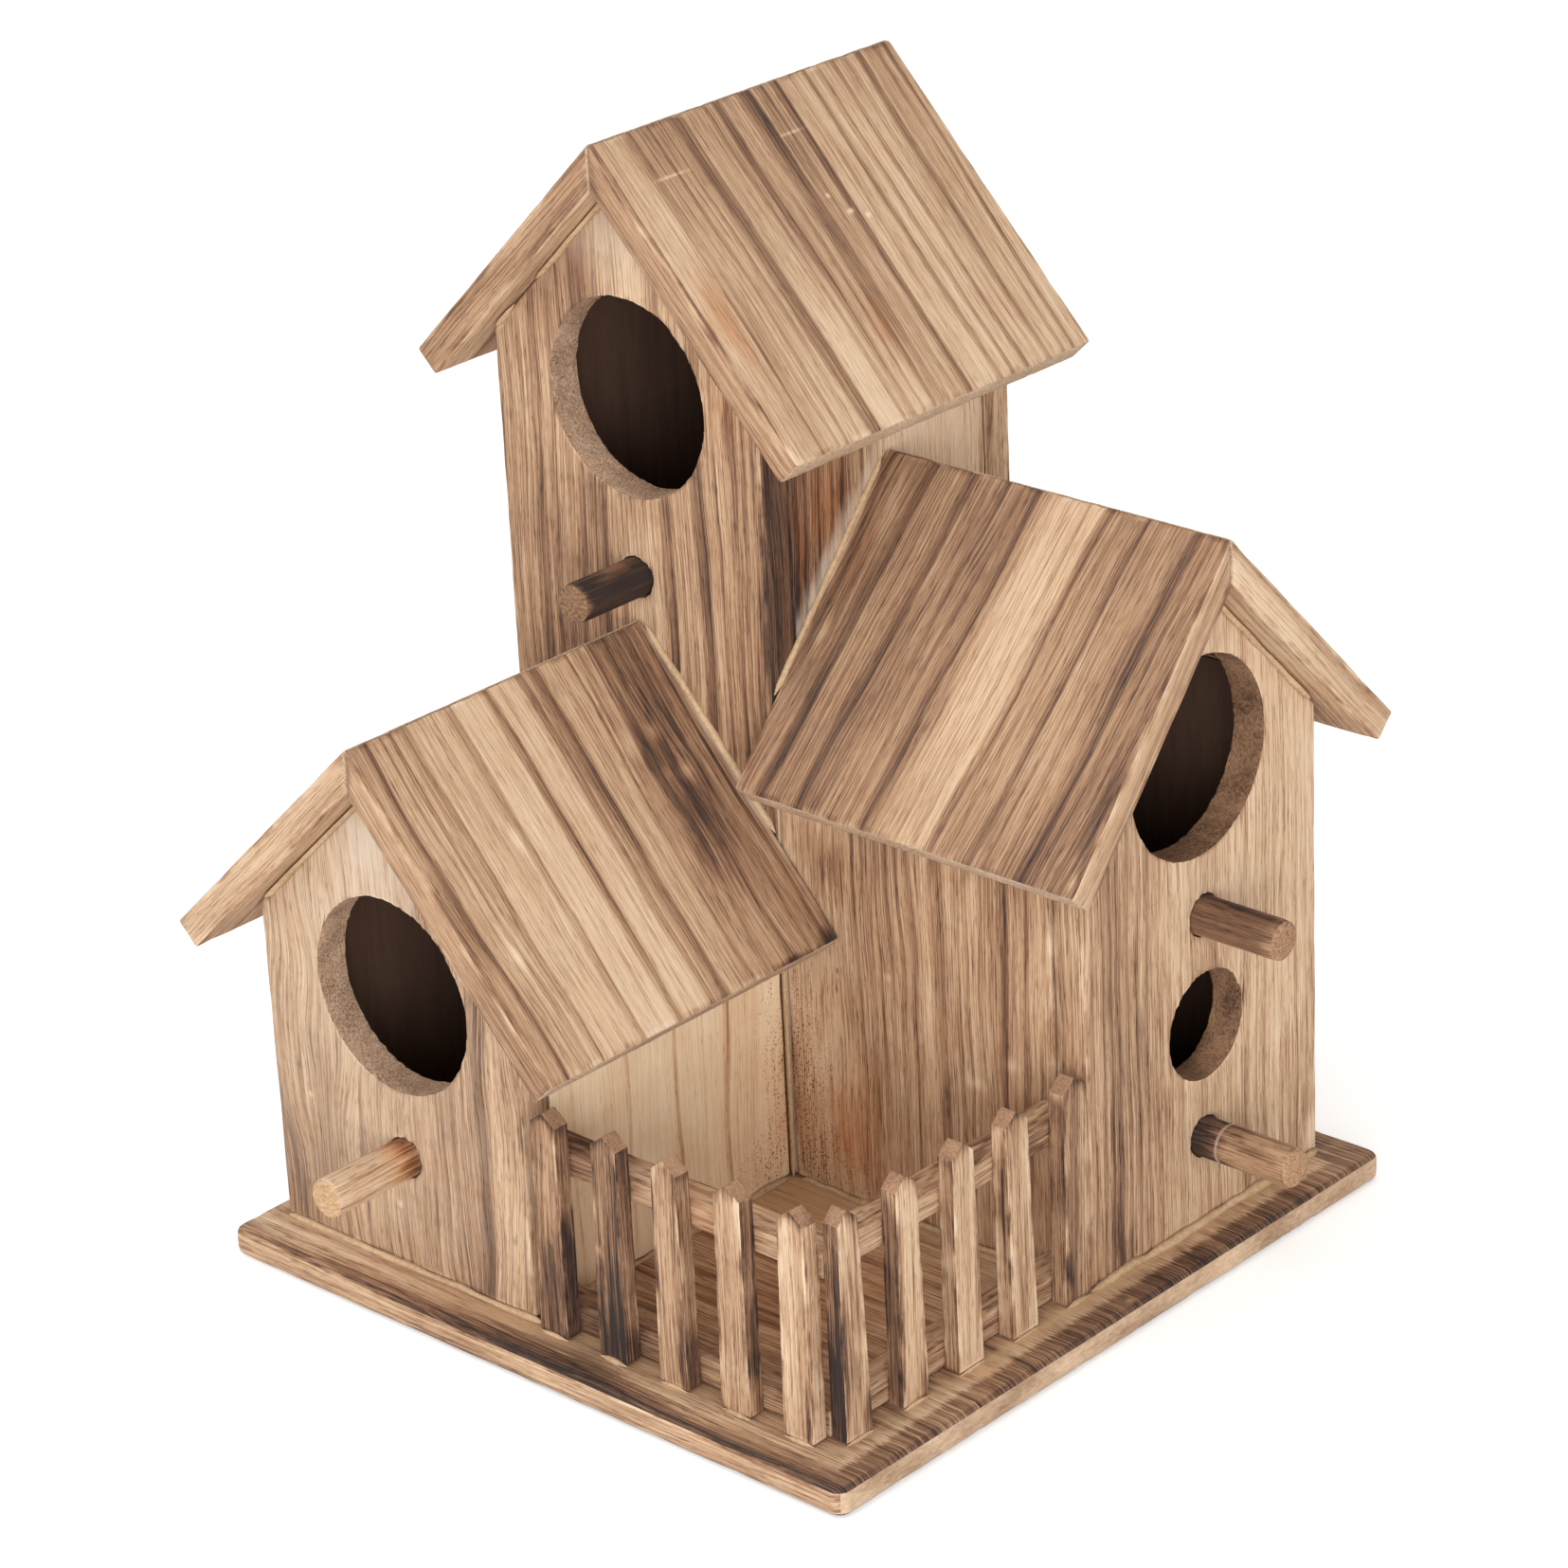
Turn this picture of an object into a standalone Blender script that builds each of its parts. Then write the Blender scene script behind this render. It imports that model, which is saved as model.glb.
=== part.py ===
# Three torched wooden nest houses on one base board, with a picket-fenced garden in the corner.
# Metres, +Z up. The origin is the centre of the base board's underside.
# The low and the tall house face -Y. The double house has two storeys and faces +X.

from dataclasses import dataclass
from math import cos, pi, radians, sin, tan

import bmesh
import bpy

# Glue: everything is glued, so touching boards keep one thin glue line
GLUE_GAP = 0.0003

# Base board
BASE_THICK = 0.0075
BASE_CORNER_RADIUS = 0.0035
BASE_EDGE_RADIUS = 0.0020
LEFT_MARGIN = 0.0070            # base edge to the low and tall houses' outer walls
FRONT_MARGIN = 0.0133           # base edge to the low house's front
RIGHT_MARGIN = 0.0129           # base edge to the double house's front
BACK_MARGIN = 0.0086            # base edge to the tall house's back

# Boards of the houses
GABLE_THICK = 0.0092            # front and back walls
SIDE_THICK = 0.0085             # side walls, set between the gable walls
ROOF_THICK = 0.0083
FLOOR_THICK = 0.0060            # inner floor of the double house
BOARD_EASE = 0.0008             # sanded edges

# Entry holes and dowel perches
BIG_HOLE_RADIUS = 0.0250
SMALL_HOLE_RADIUS = 0.0139
HOLE_SIDES = 48
DOWEL_RADIUS = 0.0050
DOWEL_SIDES = 24
DOWEL_CHAMFER = 0.0006
DOWEL_CLEARANCE = 0.0003        # radial, filled with glue
LOWEST_PERCH = 0.0228           # the double house's lower perch above the base board
FLOOR_SPACE = 0.0005            # its small hole to the inner floor above
PERCH_OVER_FLOOR = 0.0086       # top of that floor to the middle of the upper perch

# Picket fence: five pickets on each open side of the garden, on two rails
PICKETS_PER_SIDE = 5
PICKET_FOOT = 0.0092            # width at the base board
PICKET_HEAD = 0.0080            # width at the shoulders
PICKET_THICK = 0.0047
PICKET_SHOULDER = 0.0557        # height of the straight part
PICKET_POINT = 0.0032           # height of the point above it
PICKET_EASE = 0.0003
FENCE_PROUD_FRONT = 0.0023      # front pickets before the low house's face
FENCE_PROUD_SIDE = 0.0008       # side pickets before the double house's face
FENCE_START_SPACE = 0.0038      # low house's side wall to the first front picket
FENCE_CORNER_SPACE = 0.0009     # last front picket to the backs of the side pickets
FENCE_END_SPACE = 0.0006        # last side picket to the double house's garden wall
RAIL_DEPTH = 0.0083
RAIL_HEIGHT = 0.0068
UPPER_RAIL_RISE = 0.0409        # underside of the upper rail above the base board

# Roofs over their neighbours
EAVE_OVER_FENCE = 0.0065        # the low house's eave passes over the first picket
EAVE_OVER_RIDGE = 0.0090        # the tall house's eave passes over the double house's ridge


@dataclass
class Entry:
    """A round entry hole in a front wall and the dowel perch below it."""
    perch_name: str
    hole_radius: float
    hole_offset: float          # centre from the wall's middle
    hole_over_perch: float      # centre to centre
    perch_offset: float
    perch_reach: float          # dowel in front of the wall
    hole_height: float = 0.0    # both centres above the base board, set below
    perch_height: float = 0.0


@dataclass
class House:
    """One house in its own frame: X across the front, Y towards the back, Z up from the base."""
    name: str
    width: float
    depth: float                # front face to the back
    ridge_offset: float         # from the front wall's middle
    left_pitch: float           # roof slopes as angles
    right_pitch: float
    left_slope: float           # roof boards' lengths down the slope
    right_slope: float
    front_overhang: float
    back_overhang: float
    has_back_wall: bool         # otherwise the tall house's board closes it
    roof_margin: float          # wood between the top hole and the roof boards
    entries: tuple              # from the top down
    ridge_height: float = 0.0   # top of the roof above the base board, set below


LOW_ENTRY = Entry(
    perch_name="low_perch", hole_radius=BIG_HOLE_RADIUS, hole_offset=0.0013,
    hole_over_perch=0.0427, perch_offset=0.0015, perch_reach=0.0262)
TALL_ENTRY = Entry(
    perch_name="tall_perch", hole_radius=BIG_HOLE_RADIUS, hole_offset=0.0006,
    hole_over_perch=0.0455, perch_offset=0.0004, perch_reach=0.0225)
UPPER_ENTRY = Entry(
    perch_name="double_upper_perch", hole_radius=BIG_HOLE_RADIUS, hole_offset=-0.0008,
    hole_over_perch=0.0408, perch_offset=0.0004, perch_reach=0.0240)
LOWER_ENTRY = Entry(
    perch_name="double_lower_perch", hole_radius=SMALL_HOLE_RADIUS, hole_offset=0.0009,
    hole_over_perch=0.0293, perch_offset=-0.0003, perch_reach=0.0275)

LOW = House(
    name="low", width=0.0854, depth=0.0900, ridge_offset=0.0017,
    left_pitch=radians(43.5), right_pitch=radians(48.1),
    left_slope=0.0898, right_slope=0.0916,
    front_overhang=0.0088, back_overhang=0.0, has_back_wall=False,
    roof_margin=0.0108, entries=(LOW_ENTRY,))

TALL = House(
    name="tall", width=0.0864, depth=0.0898, ridge_offset=0.0007,
    left_pitch=radians(44.8), right_pitch=radians(46.8),
    left_slope=0.0884, right_slope=0.0907,
    front_overhang=0.0084, back_overhang=0.0084, has_back_wall=True,
    roof_margin=0.0107, entries=(TALL_ENTRY,))

DOUBLE = House(
    name="double", width=0.0887, depth=0.0934, ridge_offset=-0.0004,
    left_pitch=radians(49.0), right_pitch=radians(46.0),
    left_slope=0.0906, right_slope=0.0896,
    front_overhang=0.0102, back_overhang=0.0, has_back_wall=False,
    roof_margin=0.0037, entries=(UPPER_ENTRY, LOWER_ENTRY))


# Heights above the base board, worked out from each other

def ridge_over_entry(house):
    """From the top hole's middle up to the ridge: the hole, the wood round it, the roof board."""
    reach = house.entries[0].hole_radius + house.roof_margin + GLUE_GAP + ROOF_THICK
    return reach / cos(max(house.left_pitch, house.right_pitch))


def eave_drop(house):
    """From the ridge down to the lowest edge of the right roof board."""
    return house.right_slope * sin(house.right_pitch) + ROOF_THICK * cos(house.right_pitch)


def set_entry(entry, hole_height):
    entry.hole_height = hole_height
    entry.perch_height = hole_height - entry.hole_over_perch


set_entry(LOWER_ENTRY, LOWEST_PERCH + LOWER_ENTRY.hole_over_perch)
FLOOR_HEIGHT = LOWER_ENTRY.hole_height + SMALL_HOLE_RADIUS + FLOOR_SPACE
UPPER_PERCH = FLOOR_HEIGHT + FLOOR_THICK + PERCH_OVER_FLOOR
set_entry(UPPER_ENTRY, UPPER_PERCH + UPPER_ENTRY.hole_over_perch)
DOUBLE.ridge_height = UPPER_ENTRY.hole_height + ridge_over_entry(DOUBLE)
TALL.ridge_height = DOUBLE.ridge_height + EAVE_OVER_RIDGE + eave_drop(TALL)
set_entry(TALL_ENTRY, TALL.ridge_height - ridge_over_entry(TALL))
LOW.ridge_height = PICKET_SHOULDER + PICKET_POINT + EAVE_OVER_FENCE + eave_drop(LOW)
set_entry(LOW_ENTRY, LOW.ridge_height - ridge_over_entry(LOW))

# Layout worked out from those sizes
BASE_WIDTH = LEFT_MARGIN + TALL.width + GLUE_GAP + DOUBLE.depth + RIGHT_MARGIN
BACK_ROW = max(TALL.depth, DOUBLE.width)
BASE_DEPTH = FRONT_MARGIN + LOW.depth + GLUE_GAP + BACK_ROW + BACK_MARGIN
LEFT_FACE = LEFT_MARGIN - BASE_WIDTH / 2
LOW_FACE = FRONT_MARGIN - BASE_DEPTH / 2
TALL_FACE = LOW_FACE + LOW.depth + GLUE_GAP
DOUBLE_FACE = BASE_WIDTH / 2 - RIGHT_MARGIN
GARDEN_FACE = TALL_FACE         # the double house's garden wall is flush with the tall house
LOW_SIDE_FACE = LEFT_FACE + LOW.width
FENCE_FACE_FRONT = LOW_FACE - FENCE_PROUD_FRONT
FENCE_FACE_SIDE = DOUBLE_FACE + FENCE_PROUD_SIDE

EDGE_ANGLE = radians(30)        # sharper edges are sanded, and shaded as edges

# Wood as (name, colour, roughness)
TORCHED = ("Torched paulownia", (0.42, 0.26, 0.14), 0.75)
PALE = ("Bare paulownia", (0.62, 0.45, 0.28), 0.7)
BIRCH = ("Birch dowel", (0.45, 0.30, 0.17), 0.65)


# Tools

def clear_scene():
    for old in list(bpy.data.objects):
        bpy.data.objects.remove(old)


def wood(kind):
    """The material of that kind, made on first use."""
    name, color, roughness = kind
    material = bpy.data.materials.get(name)
    if material is None:
        material = bpy.data.materials.new(name)
        material.use_nodes = True
        shader = material.node_tree.nodes["Principled BSDF"]
        shader.inputs["Base Color"].default_value = (*color, 1.0)
        shader.inputs["Roughness"].default_value = roughness
        shader.inputs["Metallic"].default_value = 0.0
    return material


def place(name, mesh, parent=None, location=(0.0, 0.0, 0.0), turn=0.0):
    piece = bpy.data.objects.new(name, mesh)
    bpy.context.collection.objects.link(piece)
    piece.parent = parent
    piece.location = location
    piece.rotation_euler.z = turn
    return piece


def finish_mesh(name, form, kind):
    bmesh.ops.recalc_face_normals(form, faces=form.faces)
    mesh = bpy.data.meshes.new(name)
    form.to_mesh(mesh)
    form.free()
    mesh.shade_smooth()
    mesh.set_sharp_from_angle(angle=EDGE_ANGLE)
    mesh.materials.append(wood(kind))
    return mesh


def board_form(outline, start, end):
    """A board sawn to an outline of (x, z) corners, reaching from start to end along Y."""
    form = bmesh.new()
    face = form.faces.new([form.verts.new((x, start, z)) for x, z in outline])
    grown = bmesh.ops.extrude_face_region(form, geom=[face])["geom"]
    moved = [item for item in grown if isinstance(item, bmesh.types.BMVert)]
    bmesh.ops.translate(form, verts=moved, vec=(0.0, end - start, 0.0))
    return form


def box_outline(left, right, bottom, top):
    return [(left, bottom), (right, bottom), (right, top), (left, top)]


def turned_form(profile, sides):
    """A round piece along Y, from its (radius, y) profile."""
    form = bmesh.new()
    rings = []
    for radius, y in profile:
        angles = [2 * pi * step / sides for step in range(sides)]
        rings.append([form.verts.new((radius * cos(a), y, radius * sin(a))) for a in angles])
    for ring, following in zip(rings, rings[1:]):
        for step in range(sides):
            after = (step + 1) % sides
            form.faces.new((ring[step], ring[after], following[after], following[step]))
    form.faces.new(rings[0])
    form.faces.new(rings[-1])
    return form


def ease(piece, width, segments=2):
    """Sand the sharp edges of a board."""
    bevel = piece.modifiers.new("Eased edges", "BEVEL")
    bevel.width = width
    bevel.segments = segments
    bevel.limit_method = "ANGLE"
    bevel.angle_limit = EDGE_ANGLE


def drill(board, radius, sides, x, z):
    """Bore a round hole right through a gable wall of the same house."""
    name = f"{board.name}_drill_{len(board.modifiers)}"
    profile = [(radius, -GABLE_THICK), (radius, 2 * GABLE_THICK)]
    mesh = finish_mesh(name, turned_form(profile, sides), TORCHED)
    cutter = place(name, mesh, board.parent, (x, 0.0, z))
    cutter.hide_render = True
    cutter.display_type = "WIRE"
    cut = board.modifiers.new("Drilled hole", "BOOLEAN")
    cut.operation = "DIFFERENCE"
    cut.solver = "EXACT"
    cut.object = cutter


# Houses

def roof_underside(house, x):
    """Height under the roof boards at x, less the glue line."""
    if x < house.ridge_offset:
        pitch = house.left_pitch
    else:
        pitch = house.right_pitch
    drop = abs(x - house.ridge_offset) * tan(pitch)
    return house.ridge_height - drop - (ROOF_THICK + GLUE_GAP) / cos(pitch)


def gable_peak(house):
    """Where the two undersides meet, a little off the ridge when the slopes differ."""
    left, right = house.left_pitch, house.right_pitch
    uneven = (ROOF_THICK + GLUE_GAP) * (1 / cos(left) - 1 / cos(right))
    shift = uneven / (tan(left) + tan(right))
    height = house.ridge_height + shift * tan(left) - (ROOF_THICK + GLUE_GAP) / cos(left)
    return house.ridge_offset + shift, height


def gable_outline(house):
    half = house.width / 2
    return [(-half, GLUE_GAP), (half, GLUE_GAP), (half, roof_underside(house, half)),
            gable_peak(house), (-half, roof_underside(house, -half))]


def make_front_wall(house, stand):
    form = board_form(gable_outline(house), 0.0, GABLE_THICK)
    name = f"{house.name}_front_wall"
    wall = place(name, finish_mesh(name, form, TORCHED), stand)
    ease(wall, BOARD_EASE)
    for entry in house.entries:
        drill(wall, entry.hole_radius, HOLE_SIDES, entry.hole_offset, entry.hole_height)
        bore = DOWEL_RADIUS + DOWEL_CLEARANCE
        drill(wall, bore, DOWEL_SIDES, entry.perch_offset, entry.perch_height)


def make_back_wall(house, stand):
    form = board_form(gable_outline(house), house.depth - GABLE_THICK, house.depth)
    name = f"{house.name}_back_wall"
    ease(place(name, finish_mesh(name, form, TORCHED), stand), BOARD_EASE)


def make_side_walls(house, stand):
    """Side boards behind the front wall, with their tops planed to the roof's slope."""
    start = GABLE_THICK + GLUE_GAP
    end = house.depth
    if house.has_back_wall:
        end -= start
    for side, sign in (("left", -1), ("right", 1)):
        outer = sign * house.width / 2
        inner = outer - sign * SIDE_THICK
        outline = [(outer, GLUE_GAP), (inner, GLUE_GAP),
                   (inner, roof_underside(house, inner)), (outer, roof_underside(house, outer))]
        name = f"{house.name}_{side}_wall"
        form = board_form(outline, start, end)
        ease(place(name, finish_mesh(name, form, TORCHED), stand), BOARD_EASE)


def make_roof(house, stand):
    """Two boards mitred together at the ridge, with square-cut eaves."""
    boards = (("left", -1, house.left_pitch, house.left_slope),
              ("right", 1, house.right_pitch, house.right_slope))
    for side, sign, pitch, slope in boards:
        mitre = house.ridge_offset + sign * GLUE_GAP / 2
        crest = house.ridge_height - GLUE_GAP / 2 * tan(pitch)
        eave_x = house.ridge_offset + sign * slope * cos(pitch)
        eave_z = house.ridge_height - slope * sin(pitch)
        outline = [(mitre, crest), (eave_x, eave_z),
                   (eave_x - sign * ROOF_THICK * sin(pitch), eave_z - ROOF_THICK * cos(pitch)),
                   (mitre, crest - ROOF_THICK / cos(pitch))]
        name = f"{house.name}_roof_{side}"
        form = board_form(outline, -house.front_overhang, house.depth + house.back_overhang)
        ease(place(name, finish_mesh(name, form, TORCHED), stand), BOARD_EASE)


def make_perches(house, stand):
    """Dowels glued through the front wall, flush with its inner face."""
    for entry in house.entries:
        profile = [(DOWEL_RADIUS - DOWEL_CHAMFER, -entry.perch_reach),
                   (DOWEL_RADIUS, DOWEL_CHAMFER - entry.perch_reach),
                   (DOWEL_RADIUS, GABLE_THICK)]
        mesh = finish_mesh(entry.perch_name, turned_form(profile, DOWEL_SIDES), BIRCH)
        spot = (entry.perch_offset, 0.0, entry.perch_height)
        place(entry.perch_name, mesh, stand, spot)


def make_inner_floor(house, stand):
    """The floor between two storeys, glued to the side walls and the front wall."""
    half = house.width / 2 - SIDE_THICK - GLUE_GAP
    outline = box_outline(-half, half, FLOOR_HEIGHT, FLOOR_HEIGHT + FLOOR_THICK)
    name = f"{house.name}_inner_floor"
    form = board_form(outline, GABLE_THICK + GLUE_GAP, house.depth)
    ease(place(name, finish_mesh(name, form, PALE), stand), BOARD_EASE)


def make_house(house, x, y, turn):
    """All boards of a house, on an empty at the middle of its front wall's foot."""
    stand = place(f"{house.name}_house", None, None, (x, y, BASE_THICK), turn)
    make_front_wall(house, stand)
    make_side_walls(house, stand)
    if house.has_back_wall:
        make_back_wall(house, stand)
    make_roof(house, stand)
    make_perches(house, stand)
    return stand


# Base board

def make_base():
    """The base board, with rounded corners and rounded edges."""
    outline = box_outline(-BASE_WIDTH / 2, BASE_WIDTH / 2, 0.0, BASE_THICK)
    form = board_form(outline, -BASE_DEPTH / 2, BASE_DEPTH / 2)
    uprights = [edge for edge in form.edges
                if abs(edge.verts[0].co.z - edge.verts[1].co.z) > BASE_THICK / 2]
    bmesh.ops.bevel(form, geom=uprights, offset=BASE_CORNER_RADIUS, segments=4, profile=0.5,
                    affect="EDGES")
    base = place("base_board", finish_mesh("base_board", form, TORCHED))
    ease(base, BASE_EDGE_RADIUS, segments=3)


# Garden fence

def picket_mesh():
    """A strip that narrows a little upwards and ends in a blunt point."""
    foot, head = PICKET_FOOT / 2, PICKET_HEAD / 2
    top = PICKET_SHOULDER + PICKET_POINT
    outline = [(-foot, GLUE_GAP), (foot, GLUE_GAP), (head, PICKET_SHOULDER), (0.0, top),
               (-head, PICKET_SHOULDER)]
    return finish_mesh("picket", board_form(outline, 0.0, PICKET_THICK), PALE)


def make_pickets():
    """Evenly spaced pickets, whose front faces lie in the fence's two faces."""
    mesh = picket_mesh()
    half = PICKET_FOOT / 2
    side_back = FENCE_FACE_SIDE - PICKET_THICK
    front_first = LOW_SIDE_FACE + FENCE_START_SPACE + half
    front_last = side_back - FENCE_CORNER_SPACE - half
    side_first = FENCE_FACE_FRONT + PICKET_THICK + GLUE_GAP + half
    side_last = GARDEN_FACE - FENCE_END_SPACE - half
    for number in range(PICKETS_PER_SIDE):
        share = number / (PICKETS_PER_SIDE - 1)
        x = front_first + share * (front_last - front_first)
        y = side_first + share * (side_last - side_first)
        spots = (("front", (x, FENCE_FACE_FRONT, BASE_THICK), 0.0),
                 ("side", (FENCE_FACE_SIDE, y, BASE_THICK), pi / 2))
        for side, spot, turn in spots:
            picket = place(f"picket_{side}_{number + 1}", mesh, None, spot, turn)
            ease(picket, PICKET_EASE)


def make_rails():
    """Two rails behind the pickets of each side. The front ones run through at the corner."""
    front_face = FENCE_FACE_FRONT + PICKET_THICK + GLUE_GAP
    side_face = FENCE_FACE_SIDE - PICKET_THICK - GLUE_GAP
    front_back = front_face + RAIL_DEPTH
    rises = (("lower", GLUE_GAP), ("upper", UPPER_RAIL_RISE))
    for level, rise in rises:
        bottom = BASE_THICK + rise
        top = BASE_THICK + rise + RAIL_HEIGHT
        front = box_outline(LOW_SIDE_FACE + GLUE_GAP, side_face, bottom, top)
        side = box_outline(side_face - RAIL_DEPTH, side_face, bottom, top)
        runs = (("front", front, front_face, front_back),
                ("side", side, front_back + GLUE_GAP, GARDEN_FACE - GLUE_GAP))
        for run, outline, start, end in runs:
            name = f"rail_{run}_{level}"
            rail = place(name, finish_mesh(name, board_form(outline, start, end), PALE))
            ease(rail, PICKET_EASE)


def build():
    clear_scene()
    make_base()
    make_house(LOW, LEFT_FACE + LOW.width / 2, LOW_FACE, 0.0)
    make_house(TALL, LEFT_FACE + TALL.width / 2, TALL_FACE, 0.0)
    double = make_house(DOUBLE, DOUBLE_FACE, GARDEN_FACE + DOUBLE.width / 2, pi / 2)
    make_inner_floor(DOUBLE, double)
    make_pickets()
    make_rails()


build()
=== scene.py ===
# %% [markdown]
# # Three torched nest houses on a board
# The real object is glued from thin boards of paulownia, a soft pale wood. A gas torch has burnt
# its surface and a wire brush has cleaned it, so every board shows brown and grey bands along the
# grain. Nothing moves. The CAD frame gives each board its size and place, and this script cuts
# each board into a fine mesh, wears its edges and gives it its own burnt grain.

# %% Load the frame
import random
from math import cos, radians, sin, tan

import bmesh
import bpy
from mathutils import Matrix, Vector, kdtree, noise


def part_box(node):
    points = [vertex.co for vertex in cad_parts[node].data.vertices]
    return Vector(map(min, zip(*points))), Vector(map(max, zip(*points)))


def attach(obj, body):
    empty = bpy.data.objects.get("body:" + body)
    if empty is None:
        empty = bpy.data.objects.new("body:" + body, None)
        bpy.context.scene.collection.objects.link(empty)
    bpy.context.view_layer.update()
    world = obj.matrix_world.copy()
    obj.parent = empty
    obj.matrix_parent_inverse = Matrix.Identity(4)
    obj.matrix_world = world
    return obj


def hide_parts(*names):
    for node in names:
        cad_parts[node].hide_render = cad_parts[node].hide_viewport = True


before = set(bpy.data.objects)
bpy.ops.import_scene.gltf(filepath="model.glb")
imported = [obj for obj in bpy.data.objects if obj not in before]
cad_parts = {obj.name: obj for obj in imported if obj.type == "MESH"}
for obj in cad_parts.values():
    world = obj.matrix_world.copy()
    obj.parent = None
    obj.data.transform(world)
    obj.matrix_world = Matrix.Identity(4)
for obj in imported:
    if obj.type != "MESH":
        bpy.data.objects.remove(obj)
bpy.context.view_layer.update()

MM = 0.001

# %% [markdown]
# ## Camera
# The photograph looks down on one corner of the board from a good metre away, with a long lens
# and a slight tilt. The camera stands on a sphere round a target point on the object's axis, so
# that azimuth, elevation and distance can be read as plain numbers.

# %% Camera
CAMERA_AZIMUTH = radians(43.257)
CAMERA_ELEVATION = radians(23.899)
CAMERA_ROLL = radians(-2.796)
CAMERA_DISTANCE = 1.22374
CAMERA_TARGET = Vector((-0.001584, 0.0, 0.115863))
CAMERA_LENS = 118.325


def placed(name, data):
    """A new object in the scene."""
    item = bpy.data.objects.new(name, data)
    bpy.context.scene.collection.objects.link(item)
    return item


forward = Vector((-sin(CAMERA_AZIMUTH) * cos(CAMERA_ELEVATION),
                  cos(CAMERA_AZIMUTH) * cos(CAMERA_ELEVATION), -sin(CAMERA_ELEVATION)))
level_right = forward.cross(Vector((0, 0, 1))).normalized()
level_up = level_right.cross(forward)
right = level_right * cos(CAMERA_ROLL) + level_up * sin(CAMERA_ROLL)
up = level_up * cos(CAMERA_ROLL) - level_right * sin(CAMERA_ROLL)
turn = Matrix((right, up, -forward)).transposed().to_4x4()

camera = placed("Camera", bpy.data.cameras.new("Camera"))
camera.matrix_world = Matrix.Translation(CAMERA_TARGET - forward * CAMERA_DISTANCE) @ turn
camera.data.lens = CAMERA_LENS
camera.data.clip_start = 0.05
bpy.context.scene.camera = camera
bpy.context.scene.view_settings.view_transform = "Standard"
print("Camera stands at", [round(value, 3) for value in camera.location])

# %% [markdown]
# ## Light
# The photograph has the light of a white tent: it comes from everywhere, a little more from
# the camera's side, so that even the garden under the eaves is bright. A pale world gives the
# fill, and three large soft lamps give the rest. A picture of a studio could light it too, but
# lamps with a place and a size are easier to understand and to change.

# %% Light


def soft_lamp(name, place, size, power):
    """A square area lamp that looks at the middle of the houses."""
    data = bpy.data.lights.new(name, "AREA")
    data.size = size
    data.energy = power
    lamp = placed(name, data)
    lamp.location = place
    lamp.rotation_euler = (CAMERA_TARGET - Vector(place)).to_track_quat("-Z", "Y").to_euler()


soft_lamp("top softbox", (-0.4, -0.5, 1.6), 1.6, 7.0)
soft_lamp("left softbox", (-0.9, -1.7, 0.8), 1.4, 5.0)
soft_lamp("front softbox", (1.35, -1.35, 0.3), 1.3, 30.0)

# %% [markdown]
# ## Colours and nodes
# Colours are written as the sRGB hex values that the eye sees, and turned to linear light once.
# One helper adds a node, fills or links its inputs and hands the node back, which keeps every
# material readable as a short recipe.

# %% Colour and node helpers


def paint(hex_code):
    """An sRGB hex colour as linear light."""
    channels = [int(hex_code[start:start + 2], 16) / 255 for start in (0, 2, 4)]
    linear = [c / 12.92 if c <= 0.04045 else ((c + 0.055) / 1.055) ** 2.4 for c in channels]
    return (*linear, 1.0)


def fill(node, inputs):
    """Set or link inputs, named in a dict or in the node's own order. A node given as an input
    links its first output in use."""
    for key, value in inputs.items() if isinstance(inputs, dict) else enumerate(inputs):
        named = {socket.name: socket for socket in node.inputs if socket.enabled}
        socket = node.inputs[key] if isinstance(key, int) else named[key]
        if isinstance(value, bpy.types.Node):
            value = next(output for output in value.outputs if output.enabled)
        if isinstance(value, bpy.types.NodeSocket):
            node.id_data.links.new(value, socket)
        else:
            socket.default_value = value


def add(tree, kind, inputs=(), stops=(), **settings):
    """Add a node. Its kind may end with an operation, as in Math.ADD."""
    kind, _, operation = kind.partition(".")
    node = tree.nodes.new(f"ShaderNode{kind}")
    if operation:
        node.operation = operation
    for setting, value in settings.items():
        setattr(node, setting, value)
    fill(node, inputs)
    if stops:
        ramp = node.color_ramp
        while len(ramp.elements) < len(stops):
            ramp.elements.new(1.0)
        for element, (position, color) in zip(ramp.elements, stops):
            element.position = position
            element.color = color
    return node


MATT = 0.7
LITTLE_SHINE = 0.25


def new_material(name, roughness=MATT):
    """A material with a matt Principled shader; returns it with its node tree and shader."""
    material = bpy.data.materials.new(name)
    material.use_nodes = True
    shader = material.node_tree.nodes["Principled BSDF"]
    fill(shader, {"Roughness": roughness, "Specular IOR Level": LITTLE_SHINE})
    return material, material.node_tree, shader


print("Linear light of a middle grey:", [round(value, 3) for value in paint("808080")])

# %% [markdown]
# ## White tent
# The real tent is white cloth all round. A world of one colour stands for it. The camera and
# glossy surfaces see it plain white, and all other light from it is weaker, so that pale wood
# keeps its colour.

# %% World
WORLD_FILL = 0.67
WHITE = (1, 1, 1, 1)

world = bpy.data.worlds.new("White tent")
world.use_nodes = True
bpy.context.scene.world = world
tent = world.node_tree
tent_path = add(tent, "LightPath").outputs
tent_fill = add(tent, "Background", {"Color": paint("FFFDFA"), "Strength": WORLD_FILL})
tent_seen = add(tent, "Background", {"Color": WHITE, "Strength": 1.0})
tent_direct = add(tent, "Math.MAXIMUM", (tent_path["Is Camera Ray"], tent_path["Is Glossy Ray"]))
tent_mix = add(tent, "MixShader", (tent_direct, tent_fill, tent_seen))
fill(tent.nodes["World Output"], {"Surface": tent_mix})
print("World fill strength", WORLD_FILL)

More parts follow.
